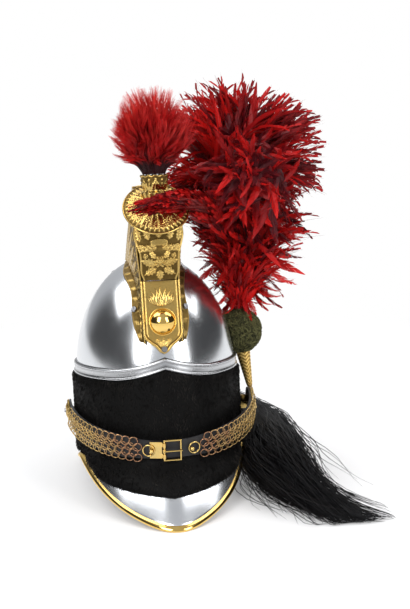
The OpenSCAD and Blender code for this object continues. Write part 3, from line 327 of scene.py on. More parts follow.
class Geo(Tree):
    kind = "GeometryNode"

    def __init__(self, name, inputs):
        super().__init__(bpy.data.node_groups.new(name, "GeometryNodeTree"))
        face = self.tree.interface
        for key, kind, val in [("Geometry", "Geometry", None)] + inputs:
            so = face.new_socket(key, in_out="INPUT", socket_type="NodeSocket" + kind)
            if val is not None:
                so.default_value = val
        face.new_socket("Geometry", in_out="OUTPUT", socket_type="NodeSocketGeometry")
        self.inp = self.tree.nodes.new("NodeGroupInput")

    def given(self, key):
        return Sock(self, self.inp.outputs[key])

    def named(self, key, kind="FLOAT"):
        return self.node("InputNamedAttribute", 0, {"Name": key}, data_type=kind)

    def done(self, geo):
        real = self.node("RealizeInstances", 0, {"Geometry": geo})
        self.node("NodeGroupOutput", 0, {0: self.node("SetMaterial", 0, {
            "Geometry": real, "Material": self.given("Material")})})
        return self


def run(ob, geo, **vals):
    # Inputs are set by their sockets' identifiers, then the result takes the mesh's place
    md = ob.modifiers.new("nodes", "NODES")
    md.node_group = geo.tree
    ids = {s.name: s.identifier for s in geo.tree.interface.items_tree
           if s.item_type == "SOCKET" and s.in_out == "INPUT"}
    for k, v in vals.items():
        md[ids[k]] = v
    dg = bpy.context.evaluated_depsgraph_get()
    dg.update()
    me = bpy.data.meshes.new_from_object(ob.evaluated_get(dg), depsgraph=dg)
    ob.modifiers.clear()
    old, ob.data = ob.data, me
    me.name = ob.name
    bpy.data.meshes.remove(old)
    return ob


def strandNodes():
    # Lines become thin tubes; each strand thins to its tip and strays a little
    g = Geo("strands", [("Width", "Float", 0.0003), ("Sides", "Int", 3), ("Stray", "Float", 0.0),
                        ("Grain", "Float", 60.0), ("Seed", "Float", 3.0),
                        ("Material", "Material", None)])
    grain = g.node("ShaderNodeTexNoise", "Color",
                   {"Vector": g.node("InputPosition"), "W": g.given("Seed"),
                    "Scale": g.given("Grain"), "Detail": 1.0}, noise_dimensions="4D")
    off = g.node("ShaderNodeVectorMath", 0, {0: grain, 1: (0.5, 0.5, 0.5)}, operation="SUBTRACT")
    off = g.node("ShaderNodeVectorMath", 0, {0: off, "Scale": g.given("Stray") * g.named("free")},
                 operation="SCALE")
    line = g.node("MeshToCurve", 0, {"Mesh": g.node("SetPosition", 0, {
        "Geometry": g.given("Geometry"), "Offset": off})})
    ring = g.node("CurvePrimitiveCircle", 0, {"Resolution": g.given("Sides"), "Radius": 1.0},
                  mode="RADIUS")
    tube = g.node("CurveToMesh", 0, {"Curve": line, "Profile Curve": ring, "Fill Caps": False,
                                     "Scale": g.named("wide") * g.given("Width")})
    return g.done(g.node("SetShadeSmooth", 0, {"Geometry": tube}))


def placeNodes():
    # Copies of one object on marked points: turn is an Euler turn, size a scale
    g = Geo("places", [("Piece", "Object", None), ("Material", "Material", None)])
    return g.done(g.node("InstanceOnPoints", 0, {
        "Points": g.node("MeshToPoints", 0, {"Mesh": g.given("Geometry")}),
        "Instance": g.node("ObjectInfo", "Geometry", {"Object": g.given("Piece")}),
        "Rotation": g.named("turn", "FLOAT_VECTOR"), "Scale": g.named("size", "FLOAT_VECTOR")}))


# Camera, lamps and floor
def makeCamera():
    az, el, roll, far = radians(-5.5), radians(15), radians(2.2), 1.5
    pictureHigh, sensor = 609, 36.0
    back = Vector((sin(az) * cos(el), -cos(az) * cos(el), sin(el)))
    right = (-back).cross(Vector((0, 0, 1))).normalized()
    up = right.cross(-back)
    spot = Vector(stand(np.array([0, 0, skull["rim"]]))) + back * far
    # The helmet's middle lies midX and midY pixels off the picture's own
    focal, midX, midY = 1275.0, 49.5, 62.0
    side = right * cos(roll) - up * sin(roll)
    top = right * sin(roll) + up * cos(roll)
    z = (back * focal - side * midX - top * midY).normalized()
    x = (side - side.dot(z) * z).normalized()
    y = z.cross(x)
    cam = bpy.data.objects.new("camera", bpy.data.cameras.new("camera"))
    cam.matrix_world = Matrix(((x.x, y.x, z.x, spot.x), (x.y, y.y, z.y, spot.y),
                               (x.z, y.z, z.z, spot.z), (0, 0, 0, 1)))
    cam.data.sensor_fit = "AUTO"
    cam.data.sensor_width = sensor
    cam.data.lens = focal / pictureHigh * sensor
    cam.data.clip_end = 30
    scene.collection.objects.link(cam)
    scene.camera = cam


def lamp(name, place, at, power, sizeX, sizeY):
    data = bpy.data.lights.new(name, "AREA")
    data.energy, data.shape, data.size, data.size_y = power, "RECTANGLE", sizeX, sizeY
    ob = addObject(data)
    ob.location = place
    ob.rotation_euler = (Vector(at) - Vector(place)).to_track_quat("-Z", "Y").to_euler()


def makeFloor():
    # The floor turns into plain white light away from the helmet
    m = Mat("pale_floor", (0.90, 0.90, 0.905), Roughness=0.9, Specular_IOR_Level=0.05)
    x, y = m.axis(m.place(), 0), m.axis(m.place(), 1)
    far = m.ramp((x * x + y * y) ** 0.5, 0.28, 0.85, 0.22, 1.0)
    light = m.node("Emission", 0, {"Color": (1, 1, 1), "Strength": 1.0})
    m.put(m.end, 0, m.node("MixShader", 0, {0: far, 1: Sock(m, m.bsdf.outputs[0]), 2: light}))
    s = 6.0
    ob = meshFrom("floor", [(-s, -s, floorZ), (s, -s, floorZ), (s, s, floorZ), (-s, s, floorZ)],
                  [(0, 1, 2, 3)], m.data)


def makeRoom():
    world = bpy.data.worlds.new("studio")
    scene.world = world
    world.use_nodes = True
    t = Tree(world.node_tree)
    # The room is darker to both sides, which leaves dark bands in the steel
    side = t.math("ABSOLUTE", t.axis(t.node("TexCoord", "Generated")))
    dim = t.node("MapRange", 0, {0: side, 1: 0.45, 2: 0.85, 3: 0.60, 4: 0.06},
                 interpolation_type="SMOOTHSTEP")
    plain = t.node("Background", 0, {0: (0.80, 0.81, 0.83), 1: dim})
    white = t.node("Background", 0, {0: (1, 1, 1), 1: 1.0})
    seen = t.math("ADD", t.node("LightPath", "Is Camera Ray"),
                  t.node("LightPath", "Is Transmission Ray"), True)
    t.node("OutputWorld", 0, {0: t.node("MixShader", 0, {0: seen, 1: plain, 2: white})})
    scene.view_settings.view_transform = "Standard"


makeCamera()
makeFloor()
# Two soft boxes overhead leave a grey band down the middle of the visor
for data in (("key", (-1.3, -1.9, 1.5), (0, 0, 0.15), 36, 1.0, 1.8),
             ("fill", (1.4, -1.8, 1.2), (0, 0, 0.12), 20, 0.8, 1.6),
             ("top left", (-1.05, 0.35, 1.85), (-0.5, 0.1, 0.1), 20, 1.5, 1.7),
             ("top right", (1.35, 0.35, 1.80), (0.6, 0.1, 0.1), 18, 1.4, 1.7),
             ("rear", (0.3, 1.9, 1.5), (0, 0, 0.2), 10, 1.6, 1.6)):
    lamp(*data)
makeRoom()
print("stage made")


# Materials; relief is 1 on the ridges, which are lighter, partly from wear and partly as painted
# highlight, and 0 in the brown hollows, partly patina and partly painted shade
def steelMat():
    m = Mat("mirror_steel", (0.79, 0.81, 0.84), Metallic=1.0, IOR=2.5)
    spots = m.noise(160.0, 5.0, 0.7)
    cloud = m.ramp(m.noise(26.0, 4.0, 0.6), 0.35, 0.75, 0.0, 0.05)
    tone = m.blend(m.ramp(spots, 0.60, 0.76, 0.0, 0.18), (0.80, 0.82, 0.85), (0.50, 0.50, 0.51))
    return m.set(Base_Color=tone, Roughness=0.19 + cloud + m.ramp(spots, 0.55, 0.8, 0.0, 0.05),
                 Normal=m.bump(m.noise(1.0, 2.0, stretch=(900, 900, 60)), 0.05, 0.0001))


def rimSteelMat():
    m = Mat("dull_steel", (0.60, 0.61, 0.63), Metallic=1.0, Roughness=0.27)
    # Painted shade: near black in the corners of the beads, where the mark is high
    tone = m.blend(m.ramp(m.mark("soot"), 0.1, 0.95), (0.62, 0.63, 0.65), (0.10, 0.10, 0.10))
    return m.set(Base_Color=tone, Roughness=m.ramp(m.noise(30.0, 4.0, 0.6), 0.3, 0.75, 0.22, 0.34))


def brassMat(name, light, dark, rough=0.24, marked=True):
    m = Mat(name, light, Metallic=1.0, IOR=1.8)
    cloud = m.noise(55.0, 4.0, 0.6)
    fine = m.noise(500.0, 3.0, 0.6)
    high = m.mark("relief") if marked else 0.62
    # Ridges lighter and hollows darker brown: partly wear and patina, partly painted highlight and
    # shade
    wearAndPaintedLight = m.ramp(high + 0.5 * (cloud - 0.5) + 0.2 * (fine - 0.5), 0.12, 0.62)
    brown = tuple(c * k for c, k in zip(light, (0.92, 0.80, 0.62)))
    return m.set(Base_Color=m.blend(wearAndPaintedLight, dark, m.blend(m.ramp(cloud, 0.3, 0.75), light, brown)),
                 Roughness=m.ramp(wearAndPaintedLight, 0.0, 1.0, rough + 0.30, rough) + 0.12 * (fine - 0.5),
                 Normal=m.bump(fine, 0.18, 0.0002))


def furMat():
    dark = (0.0012, 0.0010, 0.0009)
    m = Mat("black_fur", dark, Roughness=0.6, Specular_IOR_Level=0.12)
    # Painted sheen: brown-grey toward the hair tips, only in broad patches where the fur would
    # catch the light
    wearAndPaintedLight = m.ramp(m.noise(30.0, 4.0, 0.65), 0.44, 0.66, 0.12, 1.0)
    tips = m.ramp(m.mark("far") * 0.7 + m.mark("tone") * 0.5, 0.35, 1.0)
    return m.set(Base_Color=m.blend(tips * wearAndPaintedLight, dark, (0.056, 0.050, 0.045)))


def leatherMat(name, color, wearAndPaintedLight, rough=0.42, scale=900.0):
    m = Mat(name, color, Roughness=rough, Specular_IOR_Level=0.32)
    cells = m.node("TexVoronoi", "Distance", {"Vector": m.place(), "Scale": scale}, feature="F1")
    cloud = m.noise(45.0, 4.0, 0.6)
    return m.set(Base_Color=m.blend(m.ramp(cloud, 0.42, 0.72, 0.0, 0.7), color, wearAndPaintedLight),
                 Roughness=m.ramp(cloud, 0.3, 0.75, rough - 0.1, rough + 0.14),
                 Normal=m.bump(cells * 0.8 + m.noise(1400.0, 2.0, 0.6) * 0.3, 0.35, 0.0003))


def hairMat():
    m = Mat("black_horsehair", (0.004, 0.004, 0.005), Roughness=0.36, Specular_IOR_Level=0.16)
    tone = m.mark("tone")
    return m.set(Base_Color=m.blend(m.ramp(tone, 0.55, 1.0, 0.0, 0.8), (0.003, 0.003, 0.004),
                                    (0.022, 0.019, 0.018)),
                 Roughness=m.ramp(tone, 0.0, 1.0, 0.30, 0.46))


def featherMat():
    # far runs from a feather's root to its tip, side from its shaft to its edge
    m = Mat("red_feather", (0.3, 0.01, 0.015), Roughness=0.45, Specular_IOR_Level=0.22,
            Sheen_Weight=0.03, Sheen_Roughness=0.35, Sheen_Tint=(0.9, 0.15, 0.1))
    far, tone, side = m.mark("far"), m.mark("tone"), m.mark("side")
    streak = m.noise(300.0, 2.0)
    # Painted light: tone makes the lower and left-hand feathers lighter and the core darkest, and
    # lit also grows lighter toward each feather's tip
    deep = m.blend(m.ramp(tone, 0.1, 1.0), (0.060, 0.002, 0.005), (0.42, 0.006, 0.007))
    lit = m.blend(m.ramp(far * 0.5 + tone * 0.7 + 0.3 * streak, 0.55, 1.35), deep,
                  (0.66, 0.010, 0.008))
    return m.set(Base_Color=m.blend(m.ramp(side, 0.0, 0.12), (0.20, 0.02, 0.018), lit),
                 Roughness=m.ramp(streak, 0.3, 0.7, 0.34, 0.56))


def bristleMat():
    m = Mat("red_bristle", (0.75, 0.02, 0.015), Specular_IOR_Level=0.4)
    far, tone = m.mark("far"), m.mark("tone")
    # Painted shade and highlight: near black toward the roots inside the tuft, bright scarlet at
    # the tips of high-tone bristles
    deep = m.blend(m.ramp(far, 0.35, 1.0), (0.025, 0.001, 0.003), (0.62, 0.010, 0.010))
    return m.set(Base_Color=m.blend(m.ramp(far * tone, 0.45, 0.95, 0.0, 0.75), deep,
                                    (0.92, 0.06, 0.04)),
                 Roughness=m.ramp(tone, 0.0, 1.0, 0.34, 0.55))


def woolMat():
    m = Mat("green_wool", (0.06, 0.07, 0.03), Roughness=0.85, Specular_IOR_Level=0.2,
            Sheen_Weight=0.12, Sheen_Roughness=0.5, Sheen_Tint=(0.5, 0.5, 0.3))
    fine = m.noise(1500.0, 3.0, 0.6)
    deep = m.ramp(m.mark("tone") + 0.4 * (fine - 0.5), 0.1, 0.95)
    return m.set(Base_Color=m.blend(deep, (0.018, 0.019, 0.007), (0.125, 0.120, 0.046)),
                 Normal=m.bump(fine, 0.5, 0.0004))


def cordMat(name, light, dark, metal=0.75):
    m = Mat(name, light, Metallic=metal)
    fine = m.noise(1800.0, 2.0, 0.6)
    return m.set(Base_Color=m.blend(m.ramp(m.mark("relief"), 0.15, 0.75), dark, light),
                 Roughness=m.ramp(fine, 0.3, 0.7, 0.28, 0.52), Normal=m.bump(fine, 0.3, 0.0002))


def wireMat():
    m = Mat("copper_brass", (0.62, 0.34, 0.19), Metallic=1.0)
    # The middle of the chin is rubbed to copper, the ends stay golden
    aside = m.math("ABSOLUTE", m.axis(m.place()))
    gold = m.ramp(aside * 14.0 + 1.2 * (m.noise(70.0, 3.0) - 0.5), 0.55, 1.15)
    return m.set(Base_Color=m.blend(gold, (0.43, 0.23, 0.13), (0.58, 0.40, 0.16)),
                 Roughness=m.ramp(m.noise(700.0, 2.0), 0.25, 0.75, 0.16, 0.40))


steel = steelMat()
rimSteel = rimSteelMat()
screwSteel = Mat("screw_steel", (0.34, 0.34, 0.36), Metallic=1.0, Roughness=0.3).data
brass = brassMat("brass", (0.68, 0.49, 0.165), (0.125, 0.076, 0.021))
oldBrass = brassMat("dark_brass", (0.57, 0.41, 0.14), (0.115, 0.072, 0.021), 0.27)
brightBrass = brassMat("bright_brass", (0.94, 0.68, 0.23), (0.34, 0.20, 0.05), 0.10)
plainBrass = brassMat("plain_brass", (0.78, 0.58, 0.22), (0.16, 0.08, 0.02), 0.20, marked=False)
wire = wireMat()
fur = furMat()
leather = leatherMat("black_leather", (0.012, 0.012, 0.014), (0.040, 0.038, 0.039))
lining = leatherMat("liner_leather", (0.20, 0.10, 0.05), (0.34, 0.20, 0.11), 0.6, 500.0)
hair = hairMat()
feather = featherMat()
bristle = bristleMat()
wool = woolMat()
goldCord = cordMat("gold_cord", (0.88, 0.62, 0.20), (0.30, 0.16, 0.03))
flaxCord = cordMat("cord", (0.60, 0.52, 0.38), (0.30, 0.24, 0.16), 0.0)
strandTree = strandNodes()
placeTree = placeNodes()


# Skull, rim band, turban, peaks and liner; the peaks reach so many degrees to each side
span = {"visor": 74, "guard": 66}


def ray(ang):
    return vec(sind(ang), -cosd(ang), 0 * np.asarray(ang, float))


def arch(ang):
    return 12 * np.maximum(0, 1 - np.abs(ang) / 32) ** 1.8


def visorEdge(ang):
    q = (np.sqrt(ang * ang + 36) - 6) / span["visor"]
    r = skullR(ang, 5) + 1.5 + 58.5 * np.maximum(0, 1 - q) ** 2.3
    z = -61 + 0.42 * (skullR(0, 5) + 60 - r * cosd(ang))
    return ray(ang) * r[..., None] + vec(0, 0, np.minimum(-3.2, z))


def neckEdge(ang):
    r = skullR(ang, 5) + 1.5 + 32.5 * (1 - (np.abs(ang) / span["guard"]) ** 2.4)
    rise = 38 * np.maximum(0, (np.abs(ang) - 20) / 46) ** 1.4
    y = r * cosd(ang)
    z = np.minimum(-3.2, (floorZ * 1000 + 1.4 + y * sin(lean)) / cos(lean) + rise)
    return vec(r * sind(ang), y, z)


def peakPt(ang, k, front, h):
    # k runs from the foot in the skull's edge to the peak's edge, h stands off from the plate
    ang = np.asarray(ang, float)
    out = ray(ang) if front else vec(sind(ang), cosd(ang), 0)
    aside = ray(ang + 90) if front else vec(cosd(ang), -sind(ang), 0)
    foot = out * skullR(ang, -1.6)[..., None] + vec(0, 0, -0.4)
    edge = visorEdge(ang) if front else neckEdge(ang)
    side = unit(np.cross(unit(edge - foot), aside))
    side = np.where(side[..., 2:] < 0, -side, side)
    lift = h + np.linalg.norm(edge - foot, axis=-1) * 0.05 * np.sin(np.pi * k)
    return mix(foot, edge, np.asarray(k)[..., None] if np.ndim(k) else k) + side * lift[..., None]


def makeSkull():
    ang = np.arange(0, 360, 2.5)
    ups = np.concatenate([[89.6, 87, 84], np.arange(81, -1, -3.0)])
    rows = [domeRing(ang, u) for u in ups] + [wallPt(ang, z) for z in (60, 30, 4, 0.2)]
    rows += [wallPt(ang, 0, -0.2), wallPt(ang, 0, -1.0)]
    rows += [wallPt(ang, z, -sheet) for z in (0.2, 4, 30, 60)]
    rows += [domeRing(ang, u, -sheet) for u in ups[::-1]]
    dress(gridMesh("skull_steel", stand(np.array(rows)), steel, flip=True, ends=True),
          "helmet", "skull_shell")


def makeRimBand():
    ang = np.arange(-180, 180, 1.5)
    prof = [(0.3, 0), (1.6, 0.0), (2.9, 0.35), (3.35, 1.2), (3.3, 2.0), (2.7, 2.8), (2.4, 3.1),
            (2.45, 4.0), (2.5, 6.5), (2.4, 9.0), (2.5, 9.4), (3.1, 9.9), (3.25, 10.7), (3.0, 11.5),
            (2.2, 12.1), (1.7, 12.4), (1.2, 13.0), (0.3, 13)]
    pts = np.stack([wallPt(ang, 89 + arch(ang) + z, h) for h, z in prof], 1)
    # Painted shade: the steel is painted near black in the corners of both beads
    low = {1: 1.0, 2: 0.3, 5: 0.4, 6: 1.0, 7: 0.5, 9: 0.4, 10: 1.0, 14: 0.6, 15: 1.0, 16: 1.0}
    soot = np.broadcast_to([low.get(i, 0.0) for i in range(len(prof))], pts.shape[:2])
    dress(gridMesh("rim_steel", stand(pts), rimSteel, loopU=True, marks={"soot": soot}),
          "helmet", "rim_band")


def turbanRows(ang, t):
    # From the rim down, over the tongue on the visor, round the foot and up inside
    top = 89 + arch(ang) - 0.3
    tongue = np.where(np.abs(ang) > 62, 0, 46 * np.maximum(0, 1 - np.abs(ang) / 62) ** 0.85)
    reach = np.linalg.norm(peakPt(ang, 1.0, True, 0 * ang) - peakPt(ang, 0.0, True, 0 * ang),
                           axis=-1)
    base = (skullR(ang, 5) - skullR(ang, -1.2)) / reach
    k = np.minimum(1 - 6.1 / reach, base + tongue / reach)
    on = step(0.0, 0.02, k - base)[:, None]

    def row(z, h, at, up):
        return mix(wallPt(ang, z, h), peakPt(ang, at, True, 0 * ang + up), on)
    rows = [wallPt(ang, top, 0.6), wallPt(ang, top, t * 0.55), wallPt(ang, top - 2.5, t * 0.85)]
    rows += [wallPt(ang, mix(top - 7, 8 + 0 * ang, s), t) for s in np.linspace(0, 1, 8)]
    rows += [row(4, t, mix(base, k, s), t * (1 - 0.62 * s)) for s in (0.25, 0.5, 0.75)]
    rows += [row(1.2, t * 0.9, k, 1.5), row(0.6, t * 0.6, k, 0.6)]
    rows += [row(0.4, t * 0.3, mix(base, k, 0.4), 0.6)]
    return rows + [mix(wallPt(ang, 0.6, 1.0), wallPt(ang, 1.0, 1.1), on)]


def makeTurban():
    ang = np.arange(-180, 180, 2.0)
    rows = turbanRows(ang, 4.2)
    zero = np.zeros((len(ang), len(rows)))
    body = gridMesh("turban_skin", stand(np.stack(rows, 1)), fur, loopU=True,
                    marks={"far": zero, "tone": zero})
    r = np.random.default_rng(11)
    n = count(15400)
    # Hairs are combed down and out, over the outer rows only
    outer = np.stack(rows[1:16], 1)
    a = r.uniform(0, len(ang), n)
    b = r.uniform(0, 13.98, n)
    i, j = a.astype(int), b.astype(int)
    i2 = (i + 1) % len(ang)
    fa, fb = (a - i)[:, None], (b - j)[:, None]
    root = mix(mix(outer[i, j], outer[i2, j], fa), mix(outer[i, j + 1], outer[i2, j + 1], fa), fb)
    down = unit(outer[i, j + 1] - outer[i, j])
    across = unit(outer[i2, j] - outer[i, j])
    out = unit(np.cross(across, down))
    out = np.where((out * (root * [1, 1, 0.15])).sum(-1, keepdims=True) < 0, -out, out)
    swirl = 0.55 * np.sin(a * 0.6 + 2.2 * np.sin(b * 0.8)) + r.normal(0, 0.35, n)
    comb = unit(down + across * swirl[:, None] + out * r.uniform(0.22, 0.6, n)[:, None])
    long = (r.uniform(3.0, 5.6, n) * np.where(b > 13, 0.7, 1))[:, None]
    pts = np.stack([root - out * 0.3, root + comb * long * 0.5 + out * 0.25,
                    root + comb * long - out * 0.1 * long], 1)
    # Painted sheen: broad bands where the hair tips are lighter, mixed with tone that differs at
    # random
    patch = 0.5 + 0.5 * np.sin(a * 0.42 + 2.0 * np.sin(b * 0.55)) * np.cos(b * 0.9 + a * 0.13)
    tone = 0.55 * r.uniform(0, 1, n) + 0.45 * patch
    strands("turban_fur", "turban", stand(pts), [1, 0.8, 0.15], tone, fur, 0.0003, "helmet",
            body)


def strands(name, node, pts, wide, tone, mat, width, body, core, stray=0.0):
    # pts is strands by points by xyz; wide runs along each strand
    n, m = pts.shape[:2]
    me = bpy.data.meshes.new(name)
    base = np.arange(n)[:, None] * m + np.arange(m - 1)
    edges = np.stack([base, base + 1], -1).reshape(-1, 2)
    me.vertices.add(n * m)
    me.vertices.foreach_set("co", pts.astype(np.float32).ravel())
    me.edges.add(len(edges))
    me.edges.foreach_set("vertices", edges.astype(np.int32).ravel())
    t = np.broadcast_to(np.linspace(0, 1, m), (n, m))
    addMarks(me, {"wide": np.broadcast_to(wide, (n, m)), "far": t, "free": t ** 1.5,
                  "tone": np.repeat(np.asarray(tone)[:, None], m, 1)})
    tubes = run(addObject(me), strandTree, Width=width, Sides=3, Stray=stray, Grain=60.0,
                Seed=3.0, Material=mat)
    dress(joinMeshes(name, [core, tubes]), body, node)


def makePeak(front, side, name, trimName, plateNode, trimNode):
    ang = np.linspace(-side, side, 121)
    zero = 0 * ang
    ks = [0.06, 0.12] + [i / 10 for i in range(2, 11)]
    r0 = ray(ang) if front else vec(sind(ang), cosd(ang), 0)
    outer, inner = (r0 * skullR(ang, -1.8)[:, None] - r0 * d for d in (0, sheet))
    pts = [outer + [0, 0, -0.4], outer + [0, 0, 11], inner + [0, 0, 11], inner - [0, 0, sheet]]
    pts += [peakPt(ang, k, front, zero - sheet) for k in ks]
    pts += [peakPt(ang, k, front, zero) for k in ks[::-1]]
    dress(gridMesh(name, stand(np.stack(pts, 1)), steel, ends=True, flip=not front),
          "helmet", plateNode)
    top, low = peakPt(ang, 1.0, front, zero), peakPt(ang, 1.0, front, zero - sheet)
    up, out = unit(top - low), unit(top - peakPt(ang, 0.8, front, zero))
    prof = [(-5.5, 0.95), (-5.5, 1.35), (-5.1, 1.7), (-4.4, 1.6), (-3.8, 1.75), (-2.4, 2.0),
            (-0.8, 1.95), (0.6, 1.6), (1.5, 0.9), (1.8, 0)]
    # The edging's relief marks: darker in its groove and on its inside, partly patina and partly
    # painted shade
    high = [0.35, 0.5, 0.7, 0.4, 0.75, 0.9, 1.0, 0.9, 0.8, 0.7]
    prof = prof + [(x, -y) for x, y in prof[-2::-1]] + [(0.1, -1.05), (0.1, 1.05)]
    high = np.broadcast_to(high + [0.5] * (len(prof) - len(high)), (len(ang), len(prof)))
    pts = stand(np.stack([(top + low) / 2 + out * x + up * y for x, y in prof], 1))
    pts[..., 2] = np.maximum(pts[..., 2], floorZ)
    dress(gridMesh(trimName, pts, brightBrass, ends=True, flip=front, marks={"relief": high}),
          "helmet", trimNode)


def makeLiner():
    # Head band, eight lobes and the two-strand cord that draws them together
    lipIn, lap = 4.7, 2.6
    lobeZ, topZ, tip = 32, 150, 24
    ang = np.arange(-180, 180, 3.0)
    rows = [wallPt(ang, 3 + z, -lipIn + h) for h, z in (
        (-0.2, 0), (0, 0.4), (0, 19), (0, 37.6), (-0.2, 38), (-1.8, 38), (-2, 37.6), (-2.05, 36.2),
        (-2.3, 36.0), (-2, 35.7), (-2, 19), (-2, 2.6), (-2.3, 2.3), (-2.05, 2), (-2, 0.4),
        (-1.8, 0))]
    dress(gridMesh("head_band_leather", stand(np.stack(rows, 1)), lining, loopU=True),
          "helmet", "liner_headband")
    lobes = []
    s = np.linspace(-1, 1, 17)
    for i in range(8):
        rows = []
        for k in np.linspace(0, 1, 22):
            a = (i + 0.5) * 45 + s * 22.5 * 0.94 * (1 - 0.45 * k * k)
            r = tip + (skullR(a, -lipIn - lap - 1.6) - tip) * cos(pi / 2 * k)
            z = lobeZ + (topZ - lobeZ) * sin(pi / 2 * k)
            puff = 1.6 + 0.35 * np.cos(s * pi / 2) - 0.3 * bell(np.abs(s), 0.88, 0.05)
            rows.append(np.concatenate([vec(sind(a) * (r + h), -cosd(a) * (r + h), z + h * 0.4 * k)
                                        [::way] for h, way in ((puff, 1), (0 * s, -1))]))
        lobes.append(gridMesh("lobe", stand(np.array(rows)), lining, ends=True, flip=True))
    dress(joinMeshes("lining_lobes", lobes), "helmet", "liner_lobes")
    t = np.linspace(0, 360, 241)[:-1]
    plies = []
    for ph in (0, 180):
        r = 22.0 + 0.55 * cosd(t * 24 + ph)
        centre = vec(sind(t) * r, -cosd(t) * r, topZ + 0.4 + 0.55 * sind(t * 24 + ph))
        pts = tubeRings(centre, ray(t), np.array([0, 0, 1.0]), 0.62, np.arange(0, 360, 60))
        plies.append(gridMesh("ply", stand(pts), flaxCord, loopU=True,
                              marks={"relief": np.full(pts.shape[:2], 0.8)}))
    dress(joinMeshes("lining_drawcord", plies), "helmet", "liner_cord")


makeSkull()
makeRimBand()
makeTurban()
makePeak(True, span["visor"], "visor_steel", "visor_edging", "visor_plate",
         "visor_trim")
makePeak(False, span["guard"], "neck_guard_steel", "neck_guard_edging", "neck_guard_plate",
         "neck_guard_trim")
makeLiner()
print("shell made")


# Crest: stamped brass, its relief drawn as heights of leaves, beads and ribs
crest = {"low": 12, "high": 164, "gap": 0.3,
         "curve": [[-110.5, 117], [-104, 152], [-97.5, 192], [-99.5, 236], [-94, 272], [-64, 297],
                   [2, 288], [72, 244], [114, 160]],
         "half": [20.5, 20.5, 20.5, 24, 25, 22, 15, 11, 8],
         "flange": [22, 31, 30, 35, 30, 27, 24, 20, 15]}


def leafHeight(x, y, long, wide, lobes=4):
    # Height 0 to 1 of a lobed leaf that grows from the origin along y
    u = np.clip(y / long, 0, 1)
    w = wide * np.sin(pi * u ** 0.75) ** 0.8 * (0.84 + 0.16 * np.cos(2 * pi * lobes * u + 0.6))
    s = np.abs(x) / (w + 1e-3)
    body = bulge(np.minimum(s, 1) ** 2)
    veins = wave(2 * pi * (2 * lobes * u - 1.1 * s))
    rib = bell(x, 0, 0.07 * wide + 0.12)
    within = (y > 0) * (y < long) * step(1.08, 0.86, s)
    return within * (0.35 + 0.65 * body) * (0.60 + 0.24 * veins + 0.34 * rib)


def leafAt(x, y, cx, cy, turn, long, wide, lobes=4):
    dx, dy = x - cx, y - cy
    return leafHeight(dx * cosd(turn) - dy * sind(turn), dx * sind(turn) + dy * cosd(turn),
                      long, wide, lobes)


def knob(x, y, cx, cy, r):
    return bulge(((x - cx) ** 2 + (y - cy) ** 2) / r ** 2)


def curl(x, y, cx, cy, r, hand=1):
    # A scroll's eye with its turn round it
    dx, dy = (x - cx) * hand, y - cy
    far = np.hypot(dx, dy)
    coil = wave(2 * pi * (far / (r * 0.55) - np.arctan2(dy, dx) / (2 * pi)))
    return step(r * 1.05, r * 0.85, far) * (0.35 + 0.65 * coil)


def pile(*layers):
    return np.maximum.reduce(np.broadcast_arrays(*[np.asarray(v, float) for v in layers]))


def gridOut(base, towards):
    out = unit(np.cross(np.gradient(base, axis=0), np.gradient(base, axis=1)))
    return np.where((out * towards).sum(-1, keepdims=True) < 0, -out, out)


def pathLength(pts, axis):
    first = np.take(pts, [0], axis)
    return np.cumsum(np.linalg.norm(np.diff(pts, axis=axis, prepend=first), axis=-1), axis=axis)


plate = {"y": -111.6, "z": 118, "lean": 9.5, "h": 80, "bossUp": 35, "boss": 14.5, "bossHigh": 10,
         "outline": [[0.3, 0], [5, 2.5], [9.5, 8], [14.5, 11.5], [20, 16.5], [22, 21], [22, 80]]}


def platePt(x, y, z):
    c, s = cosd(plate["lean"]), sind(plate["lean"])
    return vec(x, plate["y"] - z * c + y * s, plate["z"] + z * s + y * c)


def makePlate():
    edge = np.array(plate["outline"], float)
    ys = np.concatenate([np.linspace(0, 24, 90), np.linspace(24.4, plate["h"], 120)])
    x = np.interp(ys, edge[:, 1], edge[:, 0])[:, None] * np.linspace(-1, 1, 121)
    y = np.broadcast_to(ys[:, None], x.shape)
    near = np.full(x.shape, 99.0)
    for a, b in zip(edge[:-1], edge[1:]):
        ab = b - a
        k = np.clip(((np.abs(x) - a[0]) * ab[0] + (y - a[1]) * ab[1]) / (ab @ ab), 0, 1)
        near = np.minimum(near, np.hypot(np.abs(x) - a[0] - k * ab[0], y - a[1] - k * ab[1]))
    bead = 1.3 * bulge(((np.minimum(near, 2.8) - 1.4) / 1.4) ** 2)
    line = 0.3 * bell(near, 4.6, 0.4) * (y > 19)
    tip = 1.3 * pile(leafAt(x, y, 0, 8, 48, 9, 3.0, 3), leafAt(x, y, 0, 8, -48, 9, 3.0, 3),
                     leafAt(x, y, 0, 9, 0, 8, 2.4, 2), 0.8 * curl(x, y, 6, 14.5, 2.3, 1),
                     0.8 * curl(x, y, -6, 14.5, 2.3, -1)) * step(0, 1.5, near - 2.4)
    pts = np.concatenate([platePt(x, y, sheet + bead + line + tip),
                          platePt(x[:, ::-1], y, 0 * x)], 1)
    # Darker in the groove beside the bead, partly patina and partly painted shade
    wearAndPaintedLight = 0.42 + 0.5 * bead + 0.6 * line + 0.45 * tip - 0.35 * bell(near, 3.2, 0.6)
    reliefPiece("crest_front_plate_stamped", "crest_front_plate", pts, brass, wearAndPaintedLight)


